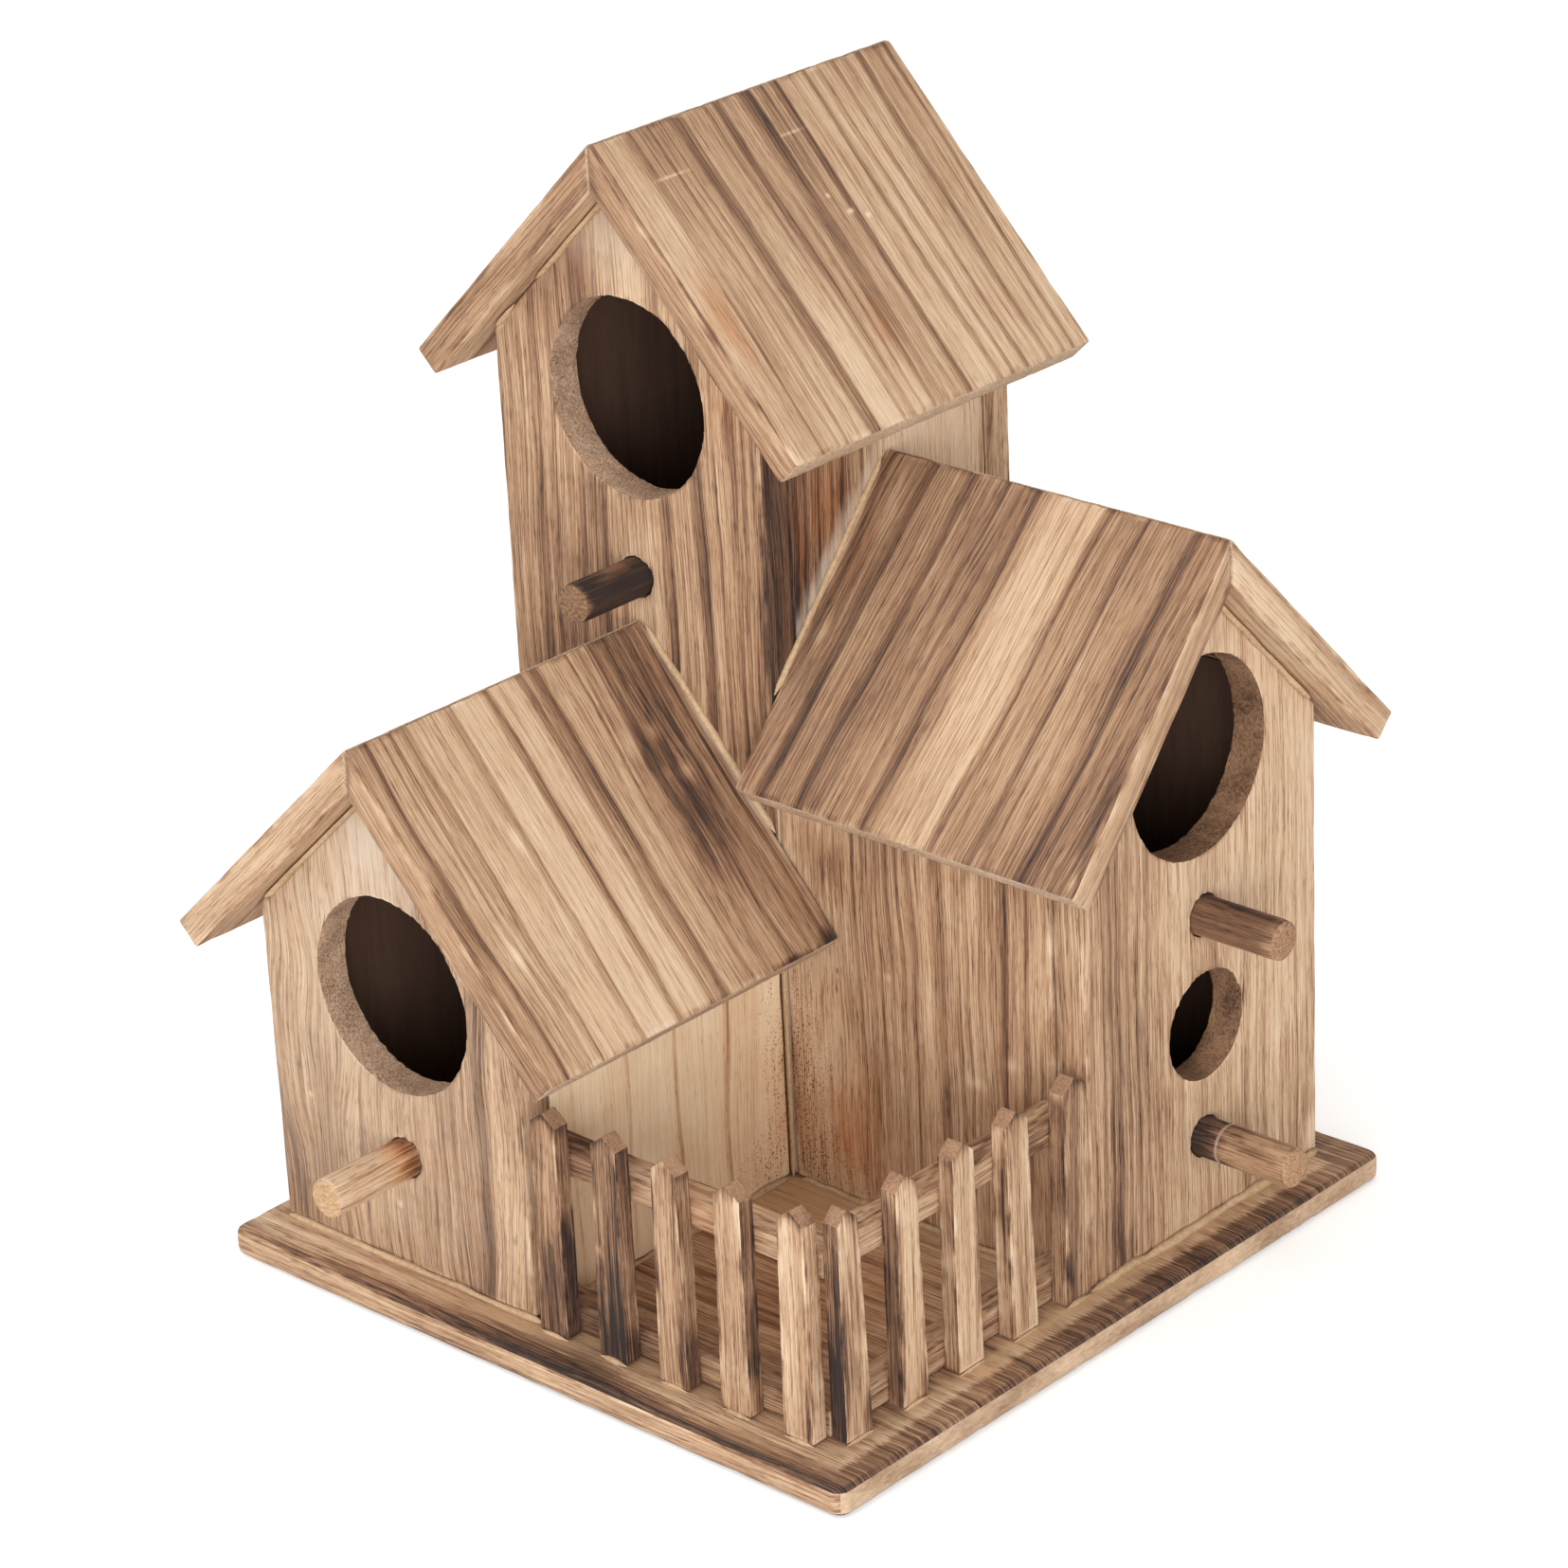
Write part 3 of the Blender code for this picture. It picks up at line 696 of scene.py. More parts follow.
# %% Rings and marks of the roofs
ROOF_LOOKS = {
    "tall_roof_right": dict(lean=0.022, more=.06, bite=.7, sway=.8, stops=rings(depth=1.1,
        levels=[
        (-8, .36, .3), (-3, .24, .14), (4, .28, .14), (9, .34, .14), (20, .34, .18),
        (23, .42, .28), (27, .34, .06), (32, .34, .06), (35, .36, .16), (45, .32, .14),
        (50, .38, .2), (57, .34, .2), (60, .26, .14), (80, .28, .14), (90, .3, .14),
        (104, .34, .2)], lines=[
        (-4.6, 1.2, .26, .2), (-1, 1, .1), (2.5, 1, .1), (5.6, 1, .05, .26), (7.5, 2.5, .2, .05),
        (11, 1, .08, .1), (14.5, 1.2, .14), (19, 1, .1, .12), (24.5, 4, .2, .28), (29, 1, .1, .04),
        (34.5, 1, .12, .1), (38, 2.2, .3, .14), (42, 1, .1), (45.5, 1.3, 0, .22),
        (47.8, 4, .32, .12), (53.5, 1.2, .12, .1), (57.9, 2, .32, .3), (63.5, 1.2, .1),
        (68.8, 1.8, .24, .28), (73.6, 1.5, .18, .25), (79, 1.6, .2, .26), (83.5, 1, .08, .1),
        (87.6, 2.2, .26, .24), (90.5, 1, .1), (93.8, 1.2, .15, .18), (97.4, 1.5, .25, .28)]),
        marks=[
        ("scorch", 1, 52, 6, 22, .5), ("scorch", 43, 67, 5, 14, .4), ("pale", 12, 14, 7, .6, .3),
        ("pale", 53.5, 14, 6, .6, .3), ("pale", 52, 32, 1, 1, .4),
        ("pale", 55.5, 37.5, 1.4, 1, .5), ("pale", 60, 40, 1, 1, .4)]),
    "low_roof_right": dict(lean=0.02, sway=1.4, bite=.8, more=.02, knots=[(-11, 38, 7, 0.8)],
        stops=rings(depth=0.9, levels=[
        (-98, .46, .44), (-92, .38, .36), (-89, .34, .3), (-86, .28, .2), (-80, .32, .24),
        (-77, .24, .18), (-66, .26, .2), (-62.5, .14, .1), (-54, .14, .1), (-51, .3, .2),
        (-48, .12, .1), (-42, .14, .1), (-40, .4, .34), (-36, .4, .3), (-33, .28, .22),
        (-21, .36, .3), (-15, .46, .34), (4, .46, .4)], lines=[
        (-90, 1.8, .32, .28), (-85.5, 1, .1), (-82.5, 1.2, .12), (-78.2, 2, .28, .26),
        (-74, 1, .1, .12), (-70, 1.2, .12), (-64.2, 2.2, .28, .26), (-58, 1, .06), (-51, 2.6, .28),
        (-45, 1, .06), (-39, 1.4, .16, .12), (-34.4, 3, .36, .34), (-29, 1.2, .12),
        (-25, 1.2, .12, .14), (-18, 1.4, .18, .15), (-12, 1.4, .1, .2), (-6, 1.4, .15, .2),
        (0, 1, .25)]), marks=[
        ("char", -14, 44, 14, 34, .18), ("char", -7, 14, 9, 34, .16), ("char", -21, 57, 5, 11, .1),
        ("char", -14, 49, 8, 12, .12), ("char", -17, 31, 7, 8, .1),
        ("pale", -11, 38, 3.4, 3.6, .24), ("pale", -13.5, 26, 3, 3.5, .24),
        ("pale", -16.5, 37, 1.5, 3, .15), ("pale", -22, 27, 3, 6, .18), ("char", 2, 90, 8, 4, .5),
        ("char", -8, 91, 18, 2, .35), ("pale", -85, 60, 2, 5, .3), ("pale", -67, 36, 2, 5, .3),
        ("char", -94, 48, 4, 16, .2), ("dust", 1.6, 40, 1.8, 60, .8)]),
    "double_roof_left": dict(lean=0.085, bite=.8, more=.03, stops=rings(depth=0.75, levels=[
        (-9, .4), (-4, .44, .48), (4, .44, .46), (12, .42, .45), (24, .45, .5), (30, .48, .42),
        (43, .42, .4), (46, .32, .28), (48.5, .27, .22), (54.5, .25, .22), (55.5, .24, .22),
        (58, .2, .18), (62.5, .36, .34), (73, .46, .4), (76, .42, .36), (88, .48, .46),
        (92, .42, .44), (110, .46, .5)], lines=[
        (4, 1.2, .12, .1), (10, 2.6, .28, .32), (15.5, 1.2, .12), (22, 3, .3, .32),
        (27, 1.2, .12, .14), (31.5, 1.5, .2, .12), (36, 1.2, .12), (40.8, 2.2, .28, .3),
        (51, 1, .08), (56.2, 1.4, .2), (62.2, 2.2, .3, .26), (66.5, 1.2, .1, .12), (73.8, 2, .28),
        (78, 1.2, .12), (83, 1.2, .1, .12), (89.2, 3, .32, .34), (93, 1.3, .14), (98, 1.4, .14),
        (103, 1.5, .15)]), marks=[
        ("pale", -5.7, 30, 1.2, 34, .5), ("char", -3, 30, 2, 36, .25), ("char", 4, 62, 3, 22, .15),
        ("pale", 2.5, 15, 2.5, 12, .3), ("pale", -.5, 48, 2, 7, .3), ("char", 95, 70, 3, 26, .22),
        ("pale", 95, 86, 2, 5, .35), ("scorch", 0, 28, 3, 18, .4)]),
}
ROOF_PITCH = {"low_roof_left": 43.5, "low_roof_right": 48.1, "tall_roof_left": 44.8,
              "tall_roof_right": 46.8, "double_roof_left": 49.0, "double_roof_right": 46.0}
ROOF_EDGES = {                  # burn of the board's edge, and of its rings
    "low_roof_left": (.28, .38), "low_roof_right": (.36, .52), "tall_roof_left": (.42, .5),
    "tall_roof_right": (.34, .48), "double_roof_left": (.28, .5), "double_roof_right": (.2, .4),
}
print("Roofs with rings of their own:", list(ROOF_LOOKS))

# %% Roofs
for node, degrees in ROOF_PITCH.items():
    house, _, side = node.split("_")
    sideways, outward = (X, Y) if house == "double" else (Y, X)
    low, high = box_mm(node)
    ridge = low if side == "right" else high
    origin = outward * ridge.dot(outward) + Z * high.z
    if side == "left":
        outward = -outward
    down = outward * cos(radians(degrees)) - Z * sin(radians(degrees))
    look = ROOF_LOOKS.get(node) or dict(stops=plain_rings(
        low.dot(sideways) - 4, high.dot(sideways) + 4, degrees, .2, .5))
    wood = torched_wood(f"Torched roof {node}", sideways, down, origin=origin, span=(5, 85),
                        seed=degrees / 7, **look)
    side_wood = torched_wood(f"Board edge {node}", sideways.cross(down), down,
                             plain_rings(-14, 14, degrees, *ROOF_EDGES[node]), origin=origin,
                             bite=.7, seed=degrees / 5, sway=0.8)
    carve(node, sideways, down, wood, side_wood, inner=under_roof(house),
          seed=degrees)

# %% [markdown]
# ## Walls
# The grain of every wall stands upright. Front walls are seen most, and their drilled holes
# show the rough inside of the board. The two walls round the garden are given little burn, so
# they are paler, and the low one also takes lighter tones: painted light that lifts the shade of
# the eaves over the garden. One wood for all walls would be less work, but its bands would run
# on from board to board, and real boards never match.

# %% Rings and marks of the walls


def above_roof(y):
    """Height in mm of a line just above the double roof's left board, where it meets the wall."""
    crest, fall, ridge_y = 188.5, 1.15, 46.4
    return crest - fall * (ridge_y - y)


WALL_LOOKS = {
    "low_front_wall": dict(sway=3.0, span=(20, 115), more=.05, knots=[(-66, 30, 16, 2.6),
        (-74, 78, 13, -2.2)], stops=rings([
        (-98, .4, .26), (-85, .36, .22), (-60, .3, .2), (-50, .3, .2), (-40, .34, .28),
        (-26, .36, .34), (-24, .36, .28), (-18, .24), (-8, .32), (-3, .4, .36)], [
        (-88, 1.2, .12, .06), (-83.5, 1.4, .14, .08), (-79, 1.2, .14, .08), (-74, 1.2, .12, .06),
        (-69, 1.2, .12, .05), (-63.5, 1.3, .12, .05), (-57, 1.2, .12, .05), (-51, 1.2, .12, .04),
        (-45, 1.3, .14, .05), (-39.5, 1.2, .16, .1), (-35, 1.4, .18, .12), (-30.5, 1.4, .18, .12),
        (-26.5, 1.2, .1), (-21.4, 5, .32, .3), (-14.5, 1, .08), (-11, 1, .1)]), marks=[
        ("pale", -80.5, 44.5, 1.2, 1.2, .3), ("pale", -52, 24, 1.2, 1.2, .3),
        ("pale", -48.8, 37.4, 9, 9, .2), ("scorch", -35, 100, 8, 16, .3),
        ("char", -88, 15, 6, 10, .12), ("dust", -50, 122, 34, 24, .75),
        ("dust", -70, 96, 14, 16, .25), ("dust", -60, 60, 70, 90, .22)]),
    "tall_front_wall": dict(span=(130, 250), more=.03, stops=rings([
        (-98, .46, .34), (-90, .38, .26), (-84, .42, .28), (-80, .46, .3), (-74, .42, .28),
        (-68, .4, .34), (-60, .44, .3), (-56, .36, .28), (-47, .26, .14), (-42, .36, .18),
        (-30, .4, .2), (-27, .44, .22), (-23, .36, .22), (-14, .36, .28), (-8.5, .46, .3),
        (-3, .5, .32)], [
        (-89, 1.2, .12, .1), (-85.5, 1.2, .12, .1), (-80.5, 3, .22, .18), (-75.5, 1.5, .2, .14),
        (-71, 1.2, .12), (-66.5, 1.5, .2, .12), (-62, 1.2, .14, .1), (-58.7, 2.4, .24, .1),
        (-53, 1.2, .12, .06), (-49.5, 1.2, .12, .05), (-38.5, 3.2, .42, .16), (-34, 1.2, .14, .05),
        (-25.8, 3.4, .36, .16), (-20.5, 1.2, .2, .12), (-15.5, 2, .2, .14), (-12.5, 1, .15, .1),
        (-9, 1, .12, .1)]), marks=[
        ("scorch", -63, 232, 6, 11, .6), ("char", -63, 232, 6, 12, .1),
        ("char", -7, 160, 2.5, 30, .4), ("char", -72, 136, 8, 8, .1),
        ("scorch", -17, 205, 9, 14, .4), ("pale", -45, 150, 8, 22, .15),
        ("char", -44, 178, 14, 9, .14), ("pale", -28, 148, 12, 20, .07),
        # The dust at -52 mm, 246 mm is a pale dusty wash and also painted light, lifting the shade
        # under the roof's overhang
        ("dust", -52, 246, 30, 22, .4), ("dust", -88, 222, 5, 12, .3)]),
    "double_front_wall": dict(span=(20, 145), more=.02, stops=rings([
        (-2, .34, .3), (8, .36, .26), (15, .38, .28), (18, .3, .22), (27, .3, .22), (35, .26, .18),
        (45, .26, .16), (55, .26, .14), (60, .24, .1), (96, .24, .08)], [
        (5, 1.2, .12, .1), (9, 1.4, .2, .16), (12, 1.6, .22, .2), (15, 2, .24, .16),
        (19, 1.2, .14, .12), (22.5, 1.4, .16, .14), (26, 1.2, .12), (30, 1.2, .12, .1),
        (34, 1.2, .12, .1), (38, 1.2, .12, .08), (42, 1.2, .1, .08), (47, 1.2, .1, .08),
        (52, 1.2, .1, .06), (57, 1.2, .08, .06), (63, 2.4, .16, .14), (67, 1, .08, .06),
        (70, 1.8, .14, .12), (74, 1, .08, .06), (77.5, 1.8, .14, .12), (80.5, 1, .06),
        (83, 2, .16, .12), (87.5, 1.2, .1, .08)]), marks=[
        ("char", 61.5, 62, 2, 8, .25), ("char", 15, 12, 5, 10, .2), ("char", 13, 35, 3, 30, .14),
        ("pale", 88, 14, 4, 8, .25), ("sand", 6, 14, 4, 10, .35), ("dust", 46.65, 30.3, 7, 7, .45),
        ("char", 47, 72, 16, 12, .12), ("char", 25, 52, 14, 44, .14),
        ("pale", 76, 46, 14, 40, .12)]),
    # Towards the right, under the eave of the tall roof, the burn falls almost to none: pale wood,
    # and painted light that lifts the shade of the roof
    "tall_right_wall": dict(span=(140, 215), wear=.03, stops=rings([
        (-2, .96, .68), (4, .96, .8), (9, .8, .62), (12, .66, .52), (18, .58, .46), (24, .54, .4),
        (29, .6, .44), (33, .46, .34), (38, .3, .2), (43, .13, .1), (48, .05, .04), (70, .05, .03),
        (96, .1, .06)], [
        (6, 1.2, .1), (13, 1.5, .2), (16.5, 1.4, .2, .15), (21, 1.4, .2, .15), (26, 1.5, .2, .15),
        (30, 1.4, .2, .14), (36, 1.6, .3, .24), (39.5, 1.6, .3, .24), (45, 1.2, .12, .1),
        (52, 1.2, .1), (60, 1.2, .1), (67, 1.2, .08), (73, 1.2, .12), (76, 1.2, .12), (82, 2, .2),
        (86, 1, .08), (90, 1.2, .12)]), marks=[
        ("scorch", 24, 178, 12, 20, .6), ("scorch", 13, 165, 7, 26, .6),
        ("char", 12, 156, 4, 14, .25), ("char", 30, 180, 2, 14, .2),
        *(("dust", y / 10, above_roof(y / 10), 2.0, 5 + y % 3, .42) for y in range(60, 420, 14))]),
    "double_left_wall": dict(span=(20, 115), warm=0.1, more=.02, stops=rings([
        (-10, .2, .22), (5, .2), (15, .22, .24), (17, .28, .34), (35, .3, .36), (40, .26, .32),
        (48, .22, .26), (60, .26, .32), (66, .28, .34), (71, .27, .33), (73, .26, .3), (82, .3)], [
        (17.5, 1.2, .12, .14), (21, 1.2, .12, .14), (24.5, 1.2, .12, .14), (28, 1.2, .14, .16),
        (31.5, 1.4, .16), (35, 1.4, .16, .18), (44, 3.2, .2, .24), (49, 1.2, .16, .18),
        (52, 1.2, .16, .18), (56, 1.2, .08, .1), (62.8, 2.4, .28, .34), (66, 1, .1),
        (69.5, 1.8, .24, .28), (75, 1, .06)]), marks=[
        # The char at 7 mm, 97 mm is painted shade: the dark zone beneath the left end of the
        # double roof
        ("char", 7, 97, 10, 13, .3), ("scorch", 12, 22, 12, 17, .6),
        ("pale", 27, 72, 1.5, 1.8, .2), ("char", 10, 64, .7, 1.6, .5),
        ("char", 10.5, 69, .6, 1.4, .5), ("scorch", -3, 25, 7, 26, .3),
        ("soot", -3, 38, 13, 40, .7), ("soot", 3, 14, 20, 14, .5),
        ("pale", 64.5, 60, 3.6, 3.2, .22), ("pale", 53.5, 52, 3.8, 2.8, .26),
        ("pale", 79, 62, 2.4, 3, .2), ("pale", 5, 45, 9, 30, .16), ("pale", 38.5, 70, 3.2, 52, .1),
        ("pale", 55, 76, 4.2, 46, .12), ("char", 45.5, 66, 3, 50, .1),
        ("char", 64, 70, 2.4, 46, .08), ("char", 60, 82, 8, 26, .13),
        ("scorch", 17, 34, 14, 20, .35)]),
    # Low burn and the lighter tones here are partly painted light, lifting the shade of the eaves
    # over the garden
    "low_right_wall": dict(span=(10, 80), warm=0.1, bite=0.6, stops=rings([
        (-82, .0), (-30, .0), (-16, .08), (5, .0, .06)], [
        (-70, 1.4, .16), (-59, 1, .08), (-53, 1.8, .2, .22), (-43, 1.1, .1), (-36, 1.8, .24, .26),
        (-26, 1.1, .1), (-18, 2, .26, .3), (-9, 1.1, .1)]), marks=[
        ("scorch", 1, 25, 8, 24, .3), ("soot", 1, 36, 11, 40, .6), ("soot", -8, 14, 14, 12, .4)],
        tones=PAINTED_LIGHT_TONES),
}
BIG_HOLE, SMALL_HOLE, DOWEL_HOLE = 25.0, 13.9, 5.3
WALL_BORES = {
    "low_front_wall": [((-49.0, 0, 80.1), Y, BIG_HOLE), ((-48.8, 0, 37.4), Y, DOWEL_HOLE)],
    "tall_front_wall": [((-49.2, 0, 202.2), Y, BIG_HOLE), ((-49.4, 0, 156.8), Y, DOWEL_HOLE)],
    "double_front_wall": [((0, 46.15, 129.4), X, BIG_HOLE), ((0, 47.35, 88.6), X, DOWEL_HOLE),
                          ((0, 47.85, 59.6), X, SMALL_HOLE), ((0, 46.65, 30.3), X, DOWEL_HOLE)],
}
ROOM_FACING = {
    "low_front_wall": Y, "low_left_wall": X, "low_right_wall": -X, "tall_front_wall": Y,
    "tall_back_wall": -Y, "tall_left_wall": X, "tall_right_wall": -X, "double_front_wall": -X,
    "double_left_wall": Y, "double_right_wall": -Y,
}
print("Walls with rings of their own:", list(WALL_LOOKS))

# %% Walls
WALL_SIDE = torched_wood("Wall board edge", (X + Y).normalized(), Z,
                         plain_rings(-160, 160, 9, .22, .4), seed=3)
BROWN_SIDE = torched_wood("Browned board edge", X, Z, plain_rings(70, 95, 12, .34, .56), seed=8)
# The ramp runs a little along X too, so that the board's other edge falls on its pale end
CHARRED_SIDE = torched_wood("Charred corner of the tall house", Y + 0.2 * X, Z, rings(
    [(-20, .3, .36), (-5, .3, .36), (-1, .1, .82), (3, .1, .84), (6, .1, .76), (12, .1, .66)]),
    seed=4, span=(105, 125), warm=0.1, marks=[("pale", 7, 212, 14, 26, .4)], wear=0.02)
SIDE_WOODS = {"tall_front_wall": CHARRED_SIDE, "tall_right_wall": CHARRED_SIDE,
              "double_front_wall": BROWN_SIDE}
for number, (node, facing) in enumerate(ROOM_FACING.items()):
    sideways = Y if abs(facing.x) > 0.5 else X
    low, high = box_mm(node)
    look = WALL_LOOKS.get(node) or dict(stops=plain_rings(
        low.dot(sideways) - 4, high.dot(sideways) + 4, number, .22, .5))
    wood = torched_wood(f"Torched wall {node}", sideways, Z, seed=number + 20, **look)
    carve(node, sideways, Z, wood, SIDE_WOODS.get(node, WALL_SIDE),
          inner=looking(facing), bores=WALL_BORES.get(node, ()), seed=number + 3)

# %% [markdown]
# ## Inner floor
# The double house has one nest above the other. The board between them only shows as darkness
# behind the holes, so plain wood is enough, painted dark above and below as shade of the rooms.

# %% Inner floor
floor_wood = torched_wood("Bare floor board", X, Y, plain_rings(-12, 82, 5, .5, .8), seed=44)
carve("double_inner_floor", X, Y, floor_wood, seed=5,
      inner=lambda centre, normal: abs(normal.z) > 0.5)

# %% [markdown]
# ## Base board
# One board with rounded edges. Its rim is charred in stripes along the grain. Next to the walls
# and the fence a pale ragged strip stayed unburnt, because the glued houses threw a shadow in the
# flame. It could be painted by hand, but the distance to the block of houses, torn a little by
# noise, gives the same strip on all sides.

# %% Base board
BLOCK_MIDDLE = (-2.9, -3.3)     # mm along Y and X
BLOCK_HALF = (92.9, 87.7)
BARE_STRIP = 5.0                # mm, where the char starts to show
TORN_RIM = (0.9, 24.0, 40.0), WHOLE
STRIPE = (0.8, 60.0, 40.0), (0.38, 0.6)


def burnt_margin(tree, straight, burnt, offset):
    """Char outside the bare strip round the houses. The board's across is Y, its along X."""
    parts = add(tree, "SeparateXYZ", (straight,)).outputs
    beyond = []
    for name, middle, half in zip(("Y", "X"), BLOCK_MIDDLE, BLOCK_HALF):
        arm = add(tree, "Math.SUBTRACT", (parts[name], middle))
        size = add(tree, "Math.ABSOLUTE", (arm,))
        beyond.append(add(tree, "Math.SUBTRACT", (size, half)))
    distance = add(tree, "Math.MAXIMUM", beyond)
    torn = stretched(tree, straight, TORN_RIM, offset, 0.0, 6.0, Detail=3.0)
    ragged = add(tree, "Math.ADD", (torn, distance))
    outside = add(tree, "MapRange", (ragged, BARE_STRIP, BARE_STRIP + 2.0),
                  interpolation_type="SMOOTHSTEP")
    bare = add(tree, "MapRange", (ragged, 2.0, 4.0, 1.0, 0.65))
    stripes = stretched(tree, straight, STRIPE, offset, 0.22, 0.4, Detail=4.0, Roughness=0.7)
    pale = add(tree, "Math.MULTIPLY", (burnt, bare))
    return add(tree, "Math.MULTIPLY_ADD", (outside, stripes, pale))


BASE_MARKS = [
    ("char", 20, 98, 66, 12, .11), ("char", 22, 96, 14, 8, .06), ("pale", -58, 96, 36, 12, .17),
    ("pale", 84, 96, 14, 12, .12), ("char", -98, 8, 9, 46, .16), ("char", -92, 12, 5, 22, .3),
    ("char", -100, 24, 3, 90, .08), ("pale", -97, -92, 9, 34, .3), ("pale", -95, -58, 6, 34, .16),
    ("pale", -96, 62, 6, 44, .15), ("char", -70, 8, 12, 20, .14), ("scorch", -40, 36, 52, 48, .45),
    ("sand", -4, 6, 22, 34, .6), ("sand", -86, 36, 4, 62, .5), ("sand", 3, 88.6, 104, 2.8, .9),
    ("sand", -90.5, -12, 4.5, 46, .6), ("sand", -40.5, 91.5, 3.4, 2.6, .9),
    ("sand", 5, 97, 1.8, 1.4, .6), ("sand", -95, 64, 3, 12, .5), ("pale", -95.5, -34, 2.2, 34, .2),
    ("pale", -96.5, 50, 2.4, 12, .2)]
base_wood = torched_wood("Torched base board", Y, X, plain_rings(-106, 106, 8, .3, .6), seed=60,
                         margin=burnt_margin, wear=0.05, rim=0.14, through=20.0, marks=BASE_MARKS)
base_side = torched_wood("Base board edge", Z, X, plain_rings(-2, 10, 3, .3, .54), seed=61,
                         sway=0.6)
carve("base_board", Y, X, base_wood, base_side, BASE_END, step=1.2, seed=6,
      rounded=True)

# %% [markdown]
# ## Dowel perches
# Turned birch, charred by the torch. Each one is burnt in its own way: the perch of the tall
# house is almost black, and that of the low house only scorched at its root. Birch is denser
# than the boards, so its fibres show less, and its cut tips show pale pores. The boards' recipe
# with a smaller bite is enough for it.

# %% Perches
PERCH_LOOKS = {                 # axis, burn, tones of the tip, marks
    "low_perch": (Y, .14, ("D4B08A", "A8845F"), [
        ("scorch", 37.4, -91, 30, 7, .6), ("char", 37.4, -88.5, 30, 5, .4),
        ("char", 39, -100, 1.2, 14, .15)]),
    "tall_perch": (Y, 1.0, ("A27D60", "4A362B"), [
        ("pale", 162, -8, 1.8, 14, .35), ("pale", 157, -19.5, 9, 2.5, .4)]),
    "double_upper_perch": (X, .66, ("B8906F", "6B4E3C"), [
        ("pale", 84, 100, 2.6, 22, .4), ("pale", 88, 110, 9, 4, .2)]),
    "double_lower_perch": (X, .34, ("C29A76", "7A5A44"), [
        ("char", 30.3, 88, 30, 11, .6), ("char", 33, 104, 1.5, 10, .3),
        ("dust", 30.3, 94, 30, .6, .6)]),
}
for number, (node, (axis, burn, tones, marks)) in enumerate(PERCH_LOOKS.items()):
    low, high = box_mm(node)
    stops = plain_rings(low.z - 4, high.z + 4, number, burn, burn + .15)
    wood = torched_wood(f"Birch dowel {node}", Z, axis, stops, seed=70 + number, sway=0.5,
                        marks=marks, bite=1.0 - 0.5 * burn)
    tip = speckled_wood(f"Dowel end {node}", *tones, (1.1, 1.1, 0.7), 0.3, 0.9)
    carve(node, Z, axis, wood, end_wood=tip, step=0.9, long_step=3.0, seed=number)

# %% [markdown]
# ## Picket fence
# Ten pickets sawn from thin strips, each burnt in its own way, on two rails a side. No two of
# them stand or taper alike, so after carving each leans a little. Copies of one picket would be
# quicker, but the eye finds copies at once.

# %% Fence
# Burn of the face and of the edges, mm that the head leans along the fence, share of its width
# there, marks of the face and of the edges
PICKET_LOOKS = {
    "picket_front_1": (.42, .46, .6, 1.02, [("char", 2, 20, 5, 24, .4)],
        [("char", 87, 22, 9, 24, .5)]),
    "picket_front_2": (.5, .54, .7, 1.0, [("char", 20, 14, 9, 26, .4),
        ("pale", 17.5, 36, 1.5, 2.5, .4)], [("char", 87, 14, 9, 14, .3)]),
    "picket_front_3": (.36, .5, .3, 1.0, [("char", 42.5, 16, 1.8, 14, .4),
        ("char", 35.8, 40, 1.1, 30, .2)], [("char", 87, 16, 9, 12, .25)]),
    "picket_front_4": (.28, .48, .5, 1.04, [("char", 62, 30, 1.2, 20, .15)],
        [("char", 87, 22, 9, 16, .3)]),
    "picket_front_5": (.2, .34, .4, 1.05, [("char", 81, 14, 1.5, 10, .3)], []),
    "picket_side_1": (.22, .54, -1.2, .9, [("char", -77, 12, 3, 8, .3),
        ("char", -84, 30, 5, 34, .45)], [("char", 85.5, 22, 9, 28, .5)]),
    "picket_side_2": (.18, .56, -.9, .95, [("char", -64.5, 40, 1.4, 36, .4),
        ("char", -58, 12, 2.5, 8, .35), ("char", -60.5, 40, .5, 18, .3)],
        [("char", 85.5, 30, 9, 30, .12)]),
    "picket_side_3": (.22, .36, -.8, .97, [("char", -38.5, 30, 1.2, 26, .3)], []),
    "picket_side_4": (.18, .28, -1.3, 1.0, [("char", -21.5, 24, .9, 20, .4),
        ("char", -26, 50, 1.5, 18, .25)], [("char", 86, 40, 1.5, 26, .35)]),
    "picket_side_5": (.4, .42, .2, 1.1, [("char", -6, 16, 2.4, 8, .5)],
        [("char", 86, 60, 6, 8, .3)]),
}
for number, (node, look) in enumerate(PICKET_LOOKS.items()):
    burn, edge_burn, lean, share, marks, edge_marks = look
    across = X if "front" in node else Y
    low, high = box_mm(node)
    middle = (low + high).dot(across) / 2
    stops = plain_rings(low.dot(across) - 4, high.dot(across) + 4, number, burn, burn + .26)
    wood = torched_wood(f"Torched {node}", across, Z, stops, seed=80 + number, sway=0.8,
                        wear=0.24, marks=[*marks, ("char", middle, high.z, 7, 4, .25)])
    stops = plain_rings(-100, 100, number + 30, edge_burn, edge_burn + .22)
    side_wood = torched_wood(f"Edge of {node}", across.cross(Z), Z, stops, seed=100 + number,
                             sway=0.6, wear=0.24, marks=edge_marks)
    piece = carve(node, across, Z, wood, side_wood, PICKET_TIP, step=0.8,
                  long_step=4.0, relief=0.05, wear=0.2, seed=number)
    for vert in piece.data.vertices:
        rise = (vert.co.z / MM - BASE_TOP) / (high.z - BASE_TOP)
        off = vert.co.dot(across) - middle * MM
        vert.co += across * rise * (lean * MM + off * (share - 1.0))

# %% [markdown]
# ## Rails
# Four thin strips run behind the pickets, paler than these. They are carved as boards are, and
# char lies only where the flame reached them.

